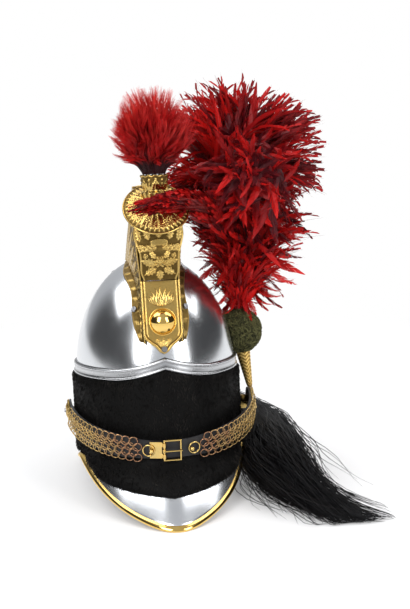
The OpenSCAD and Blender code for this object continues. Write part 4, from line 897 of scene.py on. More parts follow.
def makeFlames():
    # Nine tongues fan out over the ball, four short ones lie before them
    face, foot = 1.5, plate["bossUp"] + 16.9
    tongues = [(i * 14, 22 * (1 - 0.10 * abs(i)), i * 1.6, abs(i) * 0.5, 2.1, 1.1, 1.1)
               for i in range(-4, 5)]
    tongues += [(i * 24, 13 - 1.6 * abs(i), i * 2.6, 0.5, 1.6, -0.9, 1.6)
                for i in (-1.5, -0.5, 0.5, 1.5)]
    k = np.linspace(0, 1, 15)[:, None]
    a = np.linspace(0, pi, 9)
    parts = []
    for ang, high, x0, y0, wide, sway, thick in tongues:
        mx = x0 + np.sin(2 * pi * k) * sway * (1 if ang >= 0 else -1) + sind(ang) * high * k
        my = foot + (y0 + cosd(ang * 0.8) * high * k)
        half = wide * (1 - k * k) * (0.75 + 0.5 * np.sin(pi * k)) + 0.12
        zTop = face + 0.3 + thick * (1 - 0.35 * k) * np.sin(a) ** 0.8
        x = np.concatenate([mx + half * np.cos(a), mx - half, mx + half], 1)
        z = np.concatenate([zTop, face + 0 * k, face + 0 * k], 1)
        parts.append(gridMesh("flame", stand(platePt(x, my, z)), brass, ends=True,
                              marks={"relief": np.clip(z - 1.3, 0.1, 1)}))
    dress(joinMeshes("crest_flames_stamped", parts), "helmet", "crest_flames")


def makeBoss():
    r, h = plate["boss"], plate["bossHigh"]
    arc = (r * r + h * h) / (2 * h)
    a = np.linspace(1, np.degrees(np.arcsin(r / arc)), 40)
    prof = [(arc * sind(v), arc * cosd(v) - arc + h) for v in a]
    prof += [(r + 0.8 * cosd(v), 0.8 + 0.8 * sind(v)) for v in np.linspace(110, -90, 15)]
    p, turn = np.array(prof + [(1, 0)]), np.arange(0, 360, 4)
    x, y = p[:, :1] * cosd(turn), plate["bossUp"] + p[:, :1] * sind(turn)
    reliefPiece("crest_ball_polished", "crest_ball_boss", platePt(x, y, 1.5 + p[:, 1:] + 0 * x),
                brightBrass, np.ones(x.shape), True)


def makeCrestSide(s, name, node):
    # A flange on the skull, then a wall that curves up to the crest's top
    u = np.linspace(0.055, 1, 300)
    w, f = spline(crest["half"], u), spline(crest["flange"], u)
    up = mix(crest["low"], crest["high"], u)
    curve = spline(crest["curve"], u)
    g = crest["gap"]
    top = vec(w, curve[:, 0], curve[:, 1])
    foot = domePt(w + 1.5, up, g + sheet)
    waist = mix(foot, top, 0.45) + [1.5, 0, 0]
    k = np.linspace(0, 1, 22)
    flange = domePt(mix(f[:, None], (w + 3)[:, None], k), up[:, None], g + sheet + 0.6 * k ** 4)
    k = np.linspace(0, 1, 42)[1:][None, :, None]
    a, b, c = domePt(w + 3, up, g + sheet + 0.6)[:, None], waist[:, None], top[:, None]
    wall = a * (2 * k - 1) * (k - 1) + b * 4 * k * (1 - k) + c * k * (2 * k - 1)
    wall = mix(wall, np.where(k < 0.5, mix(a, b, 2 * k), mix(b, c, 2 * k - 1)), 0.5)
    base = np.concatenate([flange, wall], 1)
    across = pathLength(base, 1)
    along = pathLength(foot, 0)[:, None] + 0 * across
    wide, full = across[:, 21:22], across[:, -1:]
    # Upright leaves with buds between them on the wall, a running scroll on the flange
    tall, v = full - wide - 4, across - wide - 1.0
    pitch = 17.0
    q = (along + 4) % pitch - pitch / 2
    upright = leafAt(q, v, 0, 0, 0, np.maximum(tall * 0.86, 4), 6.6, 5)
    q = (along + 4 + pitch / 2) % pitch - pitch / 2
    bud = pile(leafAt(q, v, 0, 0, 0, np.maximum(tall * 0.5, 3), 3.2, 3),
               knob(q, v, 0, tall * 0.62, 1.7), curl(q, v, 0, tall * 0.84, 2.4))
    topEdge = full - across
    beads = knob(along % 3.0 - 1.5, topEdge, 0, 3.6, 1.25) * (tall > 8)
    onWall = step(-0.4, 0.6, v) * step(4.6, 5.6, topEdge)
    q = along % 15.0 - 7.5
    scroll = pile(leafAt(q, across, 1.5, 1.6, -38, 8.5, 2.9, 4),
                  leafAt(q, across, -3.5, wide - 0.6, 142, 7.5, 2.6, 4),
                  curl(q, across, -1.8, wide * 0.5, 1.6))
    onFlange = (across < wide - 0.5) * step(0.9, 1.6, across)
    high = 1.3 * onWall * pile(upright, bud) + 0.8 * step(2.2, 1.6, topEdge) + 0.9 * beads
    high = high + 0.5 * onFlange * scroll + 0.4 * bell(across, 0.7, 0.5)
    # Flat round the wings' screws
    screw = np.linalg.norm(base - domePt(28, 38.4, 1.5), axis=-1)
    high = high * (1 - np.exp(-(screw / 5.2) ** 6))
    towards = np.concatenate([domeOut(flange), np.broadcast_to([1.0, 0, 0], wall.shape)], 1)
    outer = base + gridOut(base, towards) * high[..., None]
    inner = np.stack([top - [sheet, 0, 0], waist - [sheet, 0, 0], domePt(w + 3 - sheet, up, g),
                      domePt(f, up, g)], 1)
    reliefPiece(name, node, np.concatenate([outer, inner], 1) * [s, 1, 1], oldBrass,
                0.16 + 0.72 * high, s > 0)


def makeStrip():
    k = np.linspace(0, 1, 361)
    u = mix(0.66, 0.93, k)
    w = (spline(crest["half"], u) + 1)[:, None]
    p = spline(crest["curve"], u)
    tang = np.gradient(p, axis=0)
    out = unit(vec(0, -tang[:, 1], tang[:, 0]))[:, None]
    c = np.linspace(-1, 1, 25)
    rib = np.abs(np.sin(pi * 12 * k))[:, None] ** 0.7
    rise = 1.5 + 2.3 * rib * bulge((np.abs(c) / 0.9) ** 2.6) + 0.9 * bell(np.abs(c), 0.95, 0.05)
    mid = vec(0 * k, p[:, 0], p[:, 1])[:, None]
    pts = np.concatenate([mid + out * rise[..., None] + vec(c * w, 0, 0),
                          mid + out * 0.3 + vec(c[::-12] * w, 0, 0)], 1)
    reliefPiece("crest_strip_gadrooned", "crest_top_strip", pts, brass, (rise - 1.2) / 1.8)


disc = {"y": -96, "z": 275, "lean": 47, "r": 36.0}


def discPt(x, y, z):
    c, s = cosd(disc["lean"]), sind(disc["lean"])
    return vec(x, disc["y"] + y * c - z * s, disc["z"] + y * s + z * c)


def makeConsole():
    # The leafy front, from its foot over the plate up to the disc's underside
    k = np.linspace(0, 1, 190)[:, None]
    w = spline([17.5, 20.5, 20.8, 21, 22, 25, 27, 26.5, 25.5], k[:, 0])[:, None]
    out = spline([101.4, 103.5, 106, 109, 110, 108, 107, 107.5, 107.5], k[:, 0])[:, None]
    q = np.linspace(-1, 1, 111)
    foot, slope = 198.0, radians(disc["lean"])

    def height(y):
        return mix(foot, disc["z"] + (y - disc["y"]) * tan(slope) - crest["gap"] / cos(slope), k)
    y = -out - 3.4 * (1 - q * q)
    base = vec(q * w, y, height(y))
    x, v = base[..., 0], base[..., 2] - foot
    layers = [leafAt(x, v, 0, 11, 180, 11, 5.0, 4), leafAt(x, v, 0, 46, 0, 15, 4.6, 5)]
    for s in (-1, 1):
        for cx, cy, turn, long, wide, lobes in (
                (4, 17, 72, 17, 5.4, 5), (4, 13, 118, 15, 4.8, 4), (5, 24, 34, 12, 3.6, 3),
                (11.5, 44, 12, 17, 4.6, 5), (21, 42, 8, 18, 3.8, 5)):
            layers.append(leafAt(x, v, s * cx, cy, s * turn, long, wide, lobes))
        for part, cx, cy, r in ((0.9, 15.5, 27, 3.0), (0.8, 11, 9.5, 2.4), (0.9, 20, 37, 2.6)):
            layers.append(part * curl(x, v, s * cx, cy, r, s))
        for i in range(5):
            spot = (s * (3 + 4.4 * i), 35.5 - 0.5 * i)
            layers += [0.9 * leafAt(x, v, *spot, s * 58, 8, 2.4, 3),
                       0.7 * leafAt(x, v, *spot, s * 118, 6, 1.9, 3)]
    # A six-petalled flower below, a plain field in the upper middle
    dx, dz = x, v - 20.5
    far, six = np.hypot(dx, dz), np.cos(6 * np.arctan2(dz, dx))
    petal = step(6.4 + 1.1 * six, 5.2 + 1.1 * six, far)
    flower = petal * (0.75 + 0.35 * six * (far > 2)) + 0.5 * knob(dx, dz, 0, 0, 2.3)
    patch = step(1.1, 0.95, np.hypot(x / 9.5, (v - 41.5) / 3.6))
    high = 1.5 * pile(*layers) * (1 - patch) * (1 - petal) + 1.9 * flower + 1.5 * patch
    high = pile(high, 0.9 * step(0.90, 0.95, np.abs(q)))
    front = base + gridOut(base, np.array([0.0, -1, 0])) * (high * step(1.0, 0.96, k))[..., None]
    # The sides run back to the crest's front edge
    edge = np.full(k.shape, -100.4)
    inside = np.minimum(y[:, ::-1] + 1.92, -100.6)
    ends = [vec(w * share, edge, height(edge)) for share in (1, 0.96, -0.96, -1)]
    back = ends[:2] + [vec(q[::-1] * w * 0.96, inside, height(inside))] + ends[2:]
    wearAndPaintedLight = np.where(patch > 0.5, 1.0, 0.12 + 0.55 * high)
    reliefPiece("crest_console_leafy", "crest_console", np.concatenate([front] + back, 1),
                oldBrass, wearAndPaintedLight)


def makeDisc():
    big = disc["r"]
    r = np.linspace(1, 34.9, 92)
    z = np.interp(r, [0, 0.4 * big, 0.6 * big, 0.82 * big, big - 1.2], [6, 5.6, 4.6, 2.6, 0.9])
    turn = np.arange(0, 360, 1.0)
    off, between = (turn + 9) % 18 - 9, turn % 18 - 9
    rr = r[:, None]
    leaves = pile(1.5 * leafHeight(rr * sind(off), rr - 0.36 * big, 0.60 * big, 5.6, 5),
                  1.2 * leafHeight(rr * sind(between), rr - 0.66 * big, 0.30 * big, 2.7, 3))
    ribs = 0.35 * wave(np.radians(turn * 60)) * step(0.36 * big, 0.30 * big, rr)
    ring = 0.9 * bell(rr, 0.37 * big, 0.8)
    high = pile(leaves, ribs, ring + 0 * turn) * step(34.9, 33.6, rr)
    rim = np.array([(35.2, 1.2), (35.8, 1.25), (36.4, 0.9), (36.8, 0.2), (36.5, -0.5), (36, -0.9),
                    (35, -0.9), (34.6, 0), (18, 0), (1, 0)])
    zz = np.concatenate([z[:, None] + high, rim[:, 1:] + 0 * turn])
    rad = np.concatenate([r, rim[:, 0]])[:, None]
    # The rim's top is lighter and its underside half dark, partly polish and patina, partly painted
    # highlight and shade
    wearAndPaintedLight = np.concatenate([0.16 + 0.62 * high, np.repeat([[1.0], [0.5]], 5, 0) + 0 * turn])
    reliefPiece("crest_disc_leafy", "crest_disc", discPt(rad * cosd(turn), rad * sind(turn), zz),
                brass, wearAndPaintedLight, True)


# Heights of the socket's foot, of its cup and of the ball's middle, and the ball's radius
tuft = {"y": -92, "socket": 262, "cup": 313.5, "ball": 359.8, "r": 45, "foot": 12.0}


def makeSocket():
    z = np.concatenate([[0.0, 1], np.linspace(2, 49.2, 110)])[:, None]
    r = np.interp(z, [0, 2, 20, 29, 30.5, 33, 34, 39.5, 50],
                  [10.5, 11.5, 11.5, 14.1, 14.1, 11.6, 11.7, 14.0, 15.0])
    turn = np.arange(0, 360, 2.5)
    arc = np.radians((turn + 30) % 60 - 30) * 13.5
    arc2 = np.radians(turn % 60 - 30) * 13.5
    lyre = pile(leafAt(arc, z, -1.2, 31, -24, 15, 2.6, 3), leafAt(arc, z, 1.2, 31, 24, 15, 2.6, 3),
                0.9 * leafAt(arc, z, 0, 32, 0, 9, 1.7, 2), 0.9 * knob(arc, z, 0, 44, 1.5),
                leafAt(arc2, z, 0, 30, 0, 12, 2.4, 3), 0.8 * knob(arc2, z, 0, 45, 1.1))
    flutes = cosd(12 * turn)
    collar = step(18, 20, z) * step(31.5, 30.0, z) * (0.5 + 0.5 * flutes)
    high = 0.9 * lyre + 0.8 * bell(z, 48.6, 0.7) + 1.1 * collar
    inner = np.array([(14.0, 49.8), (13.2, 46), (12.9, 41.5), (4.2, 41)])
    up = np.concatenate([z + 0.7 * flutes * step(44, 49, z),
                         inner[:, 1:] + 0.7 * flutes * (inner[:, 1:] > 49)])
    rad = np.concatenate([r + high, inner[:, :1] + 0 * turn])
    pts = vec(rad * cosd(turn), tuft["y"] + rad * sind(turn), tuft["socket"] + up)
    reliefPiece("tuft_socket_palmettes", "tuft_socket", pts, brass, 0.14 + 0.85 * high, True)


makePlate()
makeFlames()
makeBoss()
makeCrestSide(1, "crest_side_left_stamped", "crest_side_left")
makeCrestSide(-1, "crest_side_right_stamped", "crest_side_right")
makeStrip()
makeConsole()
makeDisc()
makeSocket()
print("crest made")


# Plume: wound stem, wool ball and feathers
plume = {"at": [115, 22, 52], "back": -3, "out": -8, "ball": 70.23, "radius": 24.3, "gap": 4.4}


def plumePt(x, y, z):
    # From the plume's upright frame to its place on the skull's side, where it leans out
    x, y, z = np.broadcast_arrays(np.asarray(x, float), y, z)
    a, b = radians(plume["back"]), radians(plume["out"])
    y, z = y * cos(a) - z * sin(a), y * sin(a) + z * cos(a)
    x, z = x * cos(b) + z * sin(b), -x * sin(b) + z * cos(b)
    return vec(x, y, z) + plume["at"]


def turnsTo(along, side):
    # Euler turns that bring Z to along and X as near to side as can be
    ez = unit(along)
    ex = unit(side - (side * ez).sum(-1, keepdims=True) * ez)
    ey = np.cross(ez, ex)
    return np.stack([np.arctan2(ey[:, 2], ez[:, 2]), np.arcsin(np.clip(-ex[:, 2], -1, 1)),
                     np.arctan2(ex[:, 1], ex[:, 0])], -1)


def placed(name, proto, pts, turns, sizes, tone, mat):
    # A copy of proto on each point, then proto itself goes
    me = bpy.data.meshes.new(name)
    me.vertices.add(len(pts))
    me.vertices.foreach_set("co", np.ascontiguousarray(pts, np.float32).ravel())
    addMarks(me, {"turn": turns, "size": sizes}, "FLOAT_VECTOR", "vector")
    addMarks(me, {"tone": tone})
    ob = run(addObject(me), placeTree, Piece=proto, Material=mat)
    old = proto.data
    bpy.data.objects.remove(proto)
    bpy.data.meshes.remove(old)
    return ob


def makeStem():
    z = np.concatenate([[-24, -23.6, 0.25], np.linspace(0.3, 47, 240), [48, 48]])[:, None]
    r = np.interp(z, [-24, 0.25, 0.3, 6, 46, 48], [2, 2, 2.6, 3.4, 8.2, 8.2])
    r[0], r[-1] = 1.6, 5
    turn = np.arange(0, 360, 4)
    tri = np.abs((turn / 90) % 1 - 0.5) * 2
    wind = np.abs(np.sin(pi * (z / 4.3 + 1.05 * tri))) ** 0.6
    plies = wave(2 * pi * (z * 0.7 - 6 * tri))
    on = step(0.3, 5, z) * step(48, 46.5, z)
    rr = r + (0.6 * wind + 0.12 * plies * wind - 0.1) * on
    seam = bell(tri, 1, 0.05) + bell(tri, 0, 0.05)
    # Painted shade: the cord darkens between the windings and along the seams
    wearAndPaintedLight = (wind ** 3 - 0.4 * seam) * np.maximum(on, 0.12)
    reliefPiece("plume_stem_wound", "plume_stem", plumePt(rr * cosd(turn), rr * sind(turn), z),
                goldCord, wearAndPaintedLight, True, "plume")


def clearOfSkull(centre, out, far, h):
    # Shortens each ray from the centre where it would enter the skull
    def inside(r):
        p = centre + out * r[:, None]
        q = (p[:, 0] / (skull["a"] + h)) ** 2 + (p[:, 1] / (skull["b"] + h)) ** 2
        return q + (np.maximum(p[:, 2] - skull["rim"], 0) / (skull["dome"] + h)) ** 2 < 1
    lo, hi = np.zeros(len(out)), np.full(len(out), 1.0) * far
    bad = inside(hi)
    for _ in range(14):
        mid = (lo + hi) / 2
        hit = inside(mid)
        hi, lo = np.where(hit, mid, hi), np.where(hit, lo, mid)
    return np.where(bad, lo, far)


def ballWays(n):
    k = np.arange(n) + 0.5
    z = 1 - 2 * k / n
    a = k * pi * (3 - sqrt(5))
    s = np.sqrt(1 - z * z)
    return np.stack([s * np.cos(a), s * np.sin(a), z], -1)


def makeWool():
    centre, big, gap = plumePt(0, 0, plume["ball"]), plume["radius"], plume["gap"]
    a, b = np.meshgrid(np.linspace(2, 178, 40), np.arange(0, 360, 9), indexing="ij")
    out = vec(sind(a) * cosd(b), sind(a) * sind(b), cosd(a)).reshape(-1, 3)
    pts = centre + out * clearOfSkull(centre, out, big, gap)[:, None]
    # Painted shade: the core under the loops is painted darkest, as the shade between the loops
    core = gridMesh("core", stand(pts).reshape(a.shape + (3,)), wool, ends=True,
                    marks={"tone": np.zeros(a.shape)})
    # One loop of yarn, stood on its feet
    t = np.linspace(0, pi, 8)
    line = vec(-np.cos(t), 0.25 * np.sin(2 * t), 1.15 * np.sin(t))
    over = np.array([0, 1.0, 0])
    side = unit(np.cross(unit(np.gradient(line, axis=0)), over))
    loop = gridMesh("loop", tubeRings(line, side, over, 0.34, np.arange(0, 360, 90)) / 1000, wool)
    n = count(1500)
    out = ballWays(n)
    r = np.random.default_rng(5)
    far = clearOfSkull(centre, out, big - 0.4, gap)
    spin = r.normal(0, 1, (n, 3))
    size = (2.45 * r.uniform(0.85, 1.2, n) * np.where(far < 23.8, 0.35, 1))[:, None] * [1, 1, 1]
    turns = turnsTo(standDir(unit(out + 0.2 * spin)), spin)
    fuzz = placed("loops", loop, stand(centre + out * far[:, None]), turns, size,
                  r.uniform(0.15, 1, n), wool)
    dress(joinMeshes("plume_wool_loops", [core, fuzz]), "plume", "plume_wool_ball")


golden = 137.508
# Middle line of the head over its foot, the core's radius, the reach, and the lock's path
feathers = {"mid": [[0, 0, 0], [1, 2, 16], [3, 2, 31], [6, 3, 48], [9, 4, 68], [11, 4, 90],
                    [12, 4, 114], [12, 4, 140], [11, 4, 167], [8, 4, 194], [4, 4, 219],
                    [0, 4, 239]],
            "core": [7, 12, 17, 23, 31, 41, 48, 52, 52, 47, 38, 22],
            "reach": [12, 24, 36, 50, 66, 82, 93, 98, 97, 90, 78, 56],
            "lock": [[100, 14, 236], [88, 2, 250], [71, -30, 263], [55, -82, 275], [32, -120, 281],
                     [6, -140, 282], [-18, -145, 279], [-37, -145, 275]]}


def featherProto(name, bow, bend):
    # Chord along Z from 0 to 1, bowed to -X; the vane's webs stand off to both sides along Y
    def spine(t):
        return vec(-bow * 4 * t * (1 - t) + bend * t ** 4, 0, t)
    verts, far, side = [], [], []
    for t in (0, 0.5, 1):
        w = 0.006 * (1.1 - t)
        for a in (90, 210, 330):
            verts.append(spine(t) + [w * cosd(a), w * sind(a), 0])
            far.append(t)
            side.append(0.0)
    faces = [[i + j, i + (j + 1) % 3, i + 3 + (j + 1) % 3, i + 3 + j]
             for i in (0, 3) for j in range(3)]
    r = np.random.default_rng(int(bow * 100) + 3)
    marks = mix(0.05, 0.97, np.linspace(0, 1, 11) ** 0.92)
    for s in (-1, 1):
        for t0, t1 in zip(marks[:-1], marks[1:]):
            lift, gap = r.normal(0.0, 0.012), r.choice([0.0, 0.35], p=[0.7, 0.3])
            trim = r.uniform(0.86, 1.06)
            b = len(verts)
            for k in (0, 0.5, 1):
                for t in (t0, mix(t1, t0, gap * k)):
                    reach = 0.20 * (t + 0.06) ** 0.35 * (1.01 - t) ** 0.95 * trim
                    z = min(t + 0.17 * min(1, 2.2 * (1 - t)) * k ** 0.9, 1.02)
                    verts.append(spine(min(z, 1)) + [(lift - 0.02) * k, s * reach * k,
                                                     max(z - 1, 0)])
                    far.append(min(1.0, z))
                    side.append(0.15 + 0.85 * k)
            faces += [[b, b + 1, b + 3, b + 2], [b + 2, b + 3, b + 5, b + 4]]
    return meshFrom(name, verts, faces, feather, {"far": far, "side": side})


def makeFeathers():
    flat = 0.78
    foot = plumePt(0, 0, plume["ball"]) + [0, 0, 25.8]
    mid, core, reach = (np.array(feathers[k], float) for k in ("mid", "core", "reach"))
    protos = [featherProto("quill_a", 0.05, 0.02), featherProto("quill_b", 0.12, 0.08),
              featherProto("quill_c", 0.20, 0.16)]
    r = np.random.default_rng(21)
    u = np.linspace(0, 1, 28)
    turn = np.arange(0, 360, 15)
    small = (spline(core, u) * mix(0.8, 0.4, u))[:, None]
    body = foot + spline(mid, u * 0.93)[:, None] + vec(sind(turn) * small,
                                                      -cosd(turn) * small * flat, 0)
    # Painted shade: the core inside the head is painted darkest, standing in for the shade between
    # the feathers
    dark = {"far": 0.0, "side": 0.5, "tone": -0.5}
    parts = [gridMesh("core", stand(body), feather, ends=True, flip=True,
                      marks={key: np.full(body.shape[:2], val) for key, val in dark.items()})]
    sets = []

    def add(root, tip, side, width, tone, kinds=3):
        chord = tip - root
        long = np.linalg.norm(chord, axis=-1)
        side = unit(side + 0.3 * r.normal(0, 1, side.shape))
        width = width * (0.6 + 0.4 * long / 90)
        sets.append((root, chord, side, np.stack([long, width, long], -1), tone,
                     r.integers(0, kinds, len(root))))

    def at(u, a, far, squash, up=0):
        # A point at height u of the plume, far out at the angle a
        return foot + spline(mid, u) + vec(sind(a) * far, -cosd(a) * far * squash, up)

    # The head: feathers that spring from the whorl in 52 tufts
    n = count(640)
    whorl = np.array([114.0, 8, 318])
    tufts = unit(r.normal(0, 1, (52, 3)) * [1.0, 0.75, 1.0])
    which = r.integers(0, 52, n)
    way = unit(tufts[which] + 0.17 * r.normal(0, 1, (n, 3)))
    lowBack = (way[:, 2] < -0.35) & (way[:, 1] > -0.35)
    way[:, 2] = np.where(lowBack, -way[:, 2], way[:, 2])
    way = unit(way)
    size = np.array([106.0, 80, 100]) * r.uniform(0.84, 1.03, 52)[which, None]
    size = size * r.uniform(0.72, 1.12, (n, 1)) ** 0.7
    tip = whorl + [0, 14, 0] + way * size
    tip[:, 2] += 4 * (way[:, 2] > 0.3)
    tip[:, 0] = np.maximum(tip[:, 0], 20)
    root = whorl + way * r.uniform(0, 22, (n, 1)) - [9, 0, 18] \
        + r.normal(0, 11, (n, 3)) * [1, 0.8, 1]
    root[:, 2] -= 16 * np.maximum(0, -way[:, 2])
    # Painted light: head feathers that point to the left (-x), toward the lamps, are lighter
    tone = np.clip(r.uniform(0, 1, n) ** 1.5 + 0.12, 0, 1) * (0.85 - 0.35 * way[:, 0])
    add(root, tip, np.cross(way, np.cross(way, [0, 0, 1.0])) + [0, -0.4, -0.2],
        44 * r.uniform(0.6, 1.25, n), np.clip(tone, 0, 1))
    # Short curled ones over the whorl's face
    n = count(120)
    a, b = r.uniform(0, 360, n), r.uniform(0, 360, n)
    q = 34 * np.sqrt(r.uniform(0, 1, n))
    root = whorl + vec(q * sind(a) + 8, -44 - 10 * r.uniform(0, 1, n), q * cosd(a) - 8)
    tip = root + vec(sind(b) - 0.4, 0, cosd(b) - 0.1) * r.uniform(30, 64, n)[:, None]
    tip[:, 1] = -58 - 12 * r.uniform(0, 1, n)
    add(root, tip, vec(0 * a, -1, 0), 44 * r.uniform(0.8, 1.3, n), r.uniform(0.0, 0.9, n) ** 1.6)
    # The lower part: shorter feathers that point up and out, their tips bent down
    n = count(310)
    a = r.permutation(n) * golden
    u = r.uniform(0.03, np.where(cosd(a) < 0, 0.74, 0.52))
    far = spline(reach, u) * r.uniform(0.72, 1.0, n) * np.where(sind(a) < -0.2, 0.86, 1)
    tip = at(u, a, far, 0.80, -6 * r.uniform(0, 1, n))
    back = np.maximum(u - r.uniform(0.16, 0.36, n), 0)
    root = at(back, a + 14, spline(core, back) * 0.5, flat)
    # Painted highlight: the lower the feather, the lighter
    add(root, tip, ray(a) - [0, 0, 0.3], 44 * r.uniform(0.7, 1.2, n),
        np.clip(r.uniform(0.15, 1.0, n) + 0.45 - 1.2 * u, 0, 1))
    # Curled ones that lie over the middle
    n = count(400)
    u = r.uniform(0.10, 0.66, n)
    a = r.permutation(n) * golden
    on = r.choice([-1.0, 1.0], n)
    near = spline(reach, u) * r.uniform(0.30, 0.48, n)
    far = spline(reach, np.minimum(u + 0.1, 1)) * r.uniform(0.62, 0.94, n)
    far = far * np.where((sind(a) < -0.2) & (u < 0.5), 0.88, 1)
    root, end = at(u, a, near, 0.8), a + on * r.uniform(8, 42, n)
    tip = at(u, end, far, 0.8, r.choice([-34.0, 22, 42, 54], n) * r.uniform(0.7, 1.1, n))
    # Painted highlight: the lower the feather, the lighter
    add(root, tip, ray(a) - [0, 0, 0.2], 48 * r.uniform(0.8, 1.2, n),
        np.clip(r.uniform(0.0, 1.0, n) ** 1.2 + 0.30 - 0.6 * u, 0, 1))
    # The lock that droops over the disc
    path = np.array(feathers["lock"], float)
    n = count(120)
    k = np.sort(r.uniform(0.30, 1, n)) ** 0.8
    lift = r.uniform(-1, 1, (n, 3)) * (1.25 - k)[:, None] * [8, 4, 22]
    tip = spline(path, k) + lift
    root = spline(path, np.maximum(k - r.uniform(0.34, 0.52, n), 0)) + lift * 0.7
    tip[:, 2] = np.maximum(tip[:, 2], 246 + 0.32 * np.maximum(0, -90 - tip[:, 1]))
    add(root, tip, vec(0.1 + 0 * k, -0.8, -0.6), 30 * r.uniform(0.8, 1.2, n),
        r.uniform(0.05, 1, n), 1)
    # Bundle that rises from the wool ball, painted bright as a highlight
    n = count(90)
    a = r.uniform(0, 360, n)
    root = foot + vec(sind(a) * 5, -cosd(a) * 5, r.uniform(-5, 6, n))
    u = r.uniform(0.08, 0.34, n)
    tip = at(u, a, spline(reach, u) * r.uniform(0.5, 0.9, n), 0.8)
    add(root, tip, ray(a) - [0, 0, 0.1], 40 * r.uniform(0.8, 1.2, n),
        r.uniform(0.75, 1, n))
    root, chord, side, size, tone, kind = (np.concatenate(v) for v in zip(*sets))
    for i, proto in enumerate(protos):
        on = kind == i
        parts.append(placed("batch", proto, stand(root[on]),
                            turnsTo(standDir(chord[on]), standDir(side[on])), size[on] / 1000,
                            tone[on], feather))
    dress(joinMeshes("plume_feathers_red", parts), "plume", "plume_feathers")


makeStem()
makeWool()
makeFeathers()
print("plume made")


# Tuft: bristles that rise from the socket's cup and spread into a ball
def makeTuft():
    r = np.random.default_rng(8)
    n = count(6500)
    q = np.sqrt(r.uniform(0, 1, n))
    a = r.uniform(0, 360, n)
    fall = np.degrees(np.arccos(1 - q * q * (1 - cosd(138))))
    cup, heart = vec(0, tuft["y"], tuft["cup"]), vec(0, tuft["y"], tuft["ball"])
    foot = tuft["foot"]
    ball = tuft["r"] * (1.02 - 0.22 * r.uniform(0, 1, n) ** 1.5)
    ball = np.where(r.uniform(0, 1, n) > 0.985, ball * 1.03, ball)
    root = cup + vec(foot * q * cosd(a), foot * q * sind(a), -1)
    swirl = a + 10 * smoothNoise(a * 0.07, 9) + r.normal(0, 6, n)
    fall = fall + r.normal(0, 5.0, n)
    tip = heart + vec(ball * sind(fall) * cosd(swirl), ball * sind(fall) * sind(swirl),
                      ball * cosd(fall))
    # Tips gather in small points
    spikes = tip[r.integers(0, n, 620)]
    near = ((tip[:, None, :] - spikes[None]) ** 2).sum(-1).argmin(1)
    reach = r.uniform(0.80, 1.12, len(spikes))
    shade = r.uniform(0, 1, len(spikes)) ** 1.3
    tip = mix(tip, heart + (spikes[near] - heart) * reach[near][:, None], 0.45)
    tip[:, 2] = np.maximum(tip[:, 2], 318)
    out = unit(vec(cosd(a), sind(a), 0))
    pts = np.stack([mix(root, tip, t) + vec(0, 0, 4 * t * (1 - t) * (3.2 * q + 0.5))
                    - out * (4 * t * (1 - t) * 2.0 * q)[:, None] for t in np.linspace(0, 1, 6)], 1)
    # Painted highlight: the higher a bristle's tip, the lighter it is
    tone = 0.3 * r.uniform(0, 1, n) + 0.7 * shade[near] + 0.35 * (tip[:, 2] - 365) / 45
    ring = range(24)
    wide = foot + 0.2
    rim = [cup + vec(wide * cosd(15 * b), wide * sind(15 * b), z) for z in (-0.8, 1.5)
           for b in ring]
    # The cup under the bristles takes the roots' painted shade
    core = meshFrom("cup", stand(rim + [cup + vec(0, 0, 1.5)]),
                    [[i, (i + 1) % 24, 24 + (i + 1) % 24, 24 + i] for i in ring]
                    + [[24 + i, 24 + (i + 1) % 24, 48] for i in ring], bristle,
                    {"far": [0] * 49, "tone": [0] * 49})
    strands("tuft_bristles_red", "tuft_bristles", stand(pts), [1.2, 1.2, 1.2, 1.1, 0.9, 0.2],
            np.clip(tone, 0, 1), bristle, 0.00027, "tuft", core, 0.025)


makeTuft()
print("tuft made")


# Mane: long horsehair down behind the neck guard and over the ground
# Each station of its path is x, y, height over the ground and radius
mane = {"split": 9 / 20, "path": [
    [0, 153, 218, 7], [1, 162, 209, 9.5], [3, 168, 194, 13], [6, 172, 174, 17],
    [10, 175, 148, 20], [15, 177, 118, 23], [22, 178, 88, 25], [34, 175, 60, 27],
    [58, 165, 44, 28.5], [92, 140, 37, 28], [121, 98, 35, 26.5], [131, 46, 34, 30],
    [131, -8, 32, 32.5], [131, -50, 28, 31], [137, -88, 22, 26], [152, -120, 14, 16],
    [168, -145, 8.6, 9.4], [184, -165, 5.2, 5.2], [198, -178, 3.4, 3], [208, -188, 2.4, 1.8]]}


def manePath():
    # The first two stations stand in the clamp, on the crest
    p = spline(crest["curve"], 0.955)[0]
    t = (spline(crest["curve"], 0.965) - spline(crest["curve"], 0.945))[0]
    out = unit([-t[1], t[0]])
    start = [np.append(stand(vec(0, *(p + out * h))) * 1000 - [0, 0, floorZ * 1000], 6.2)
             for h in (3.9, 20)]
    return np.array(start + mane["path"], float)


def maneFrame(path, s, ref):
    p, rad = spline(path[:, :3], s), spline(path[:, 3:], s)[:, 0]
    t = unit(spline(path[:, :3], np.minimum(s + 0.004, 1))
             - spline(path[:, :3], np.maximum(s - 0.004, 0)))
    side = unit(np.cross(t, ref))
    return p, side, np.cross(side, t) * 0.8, rad


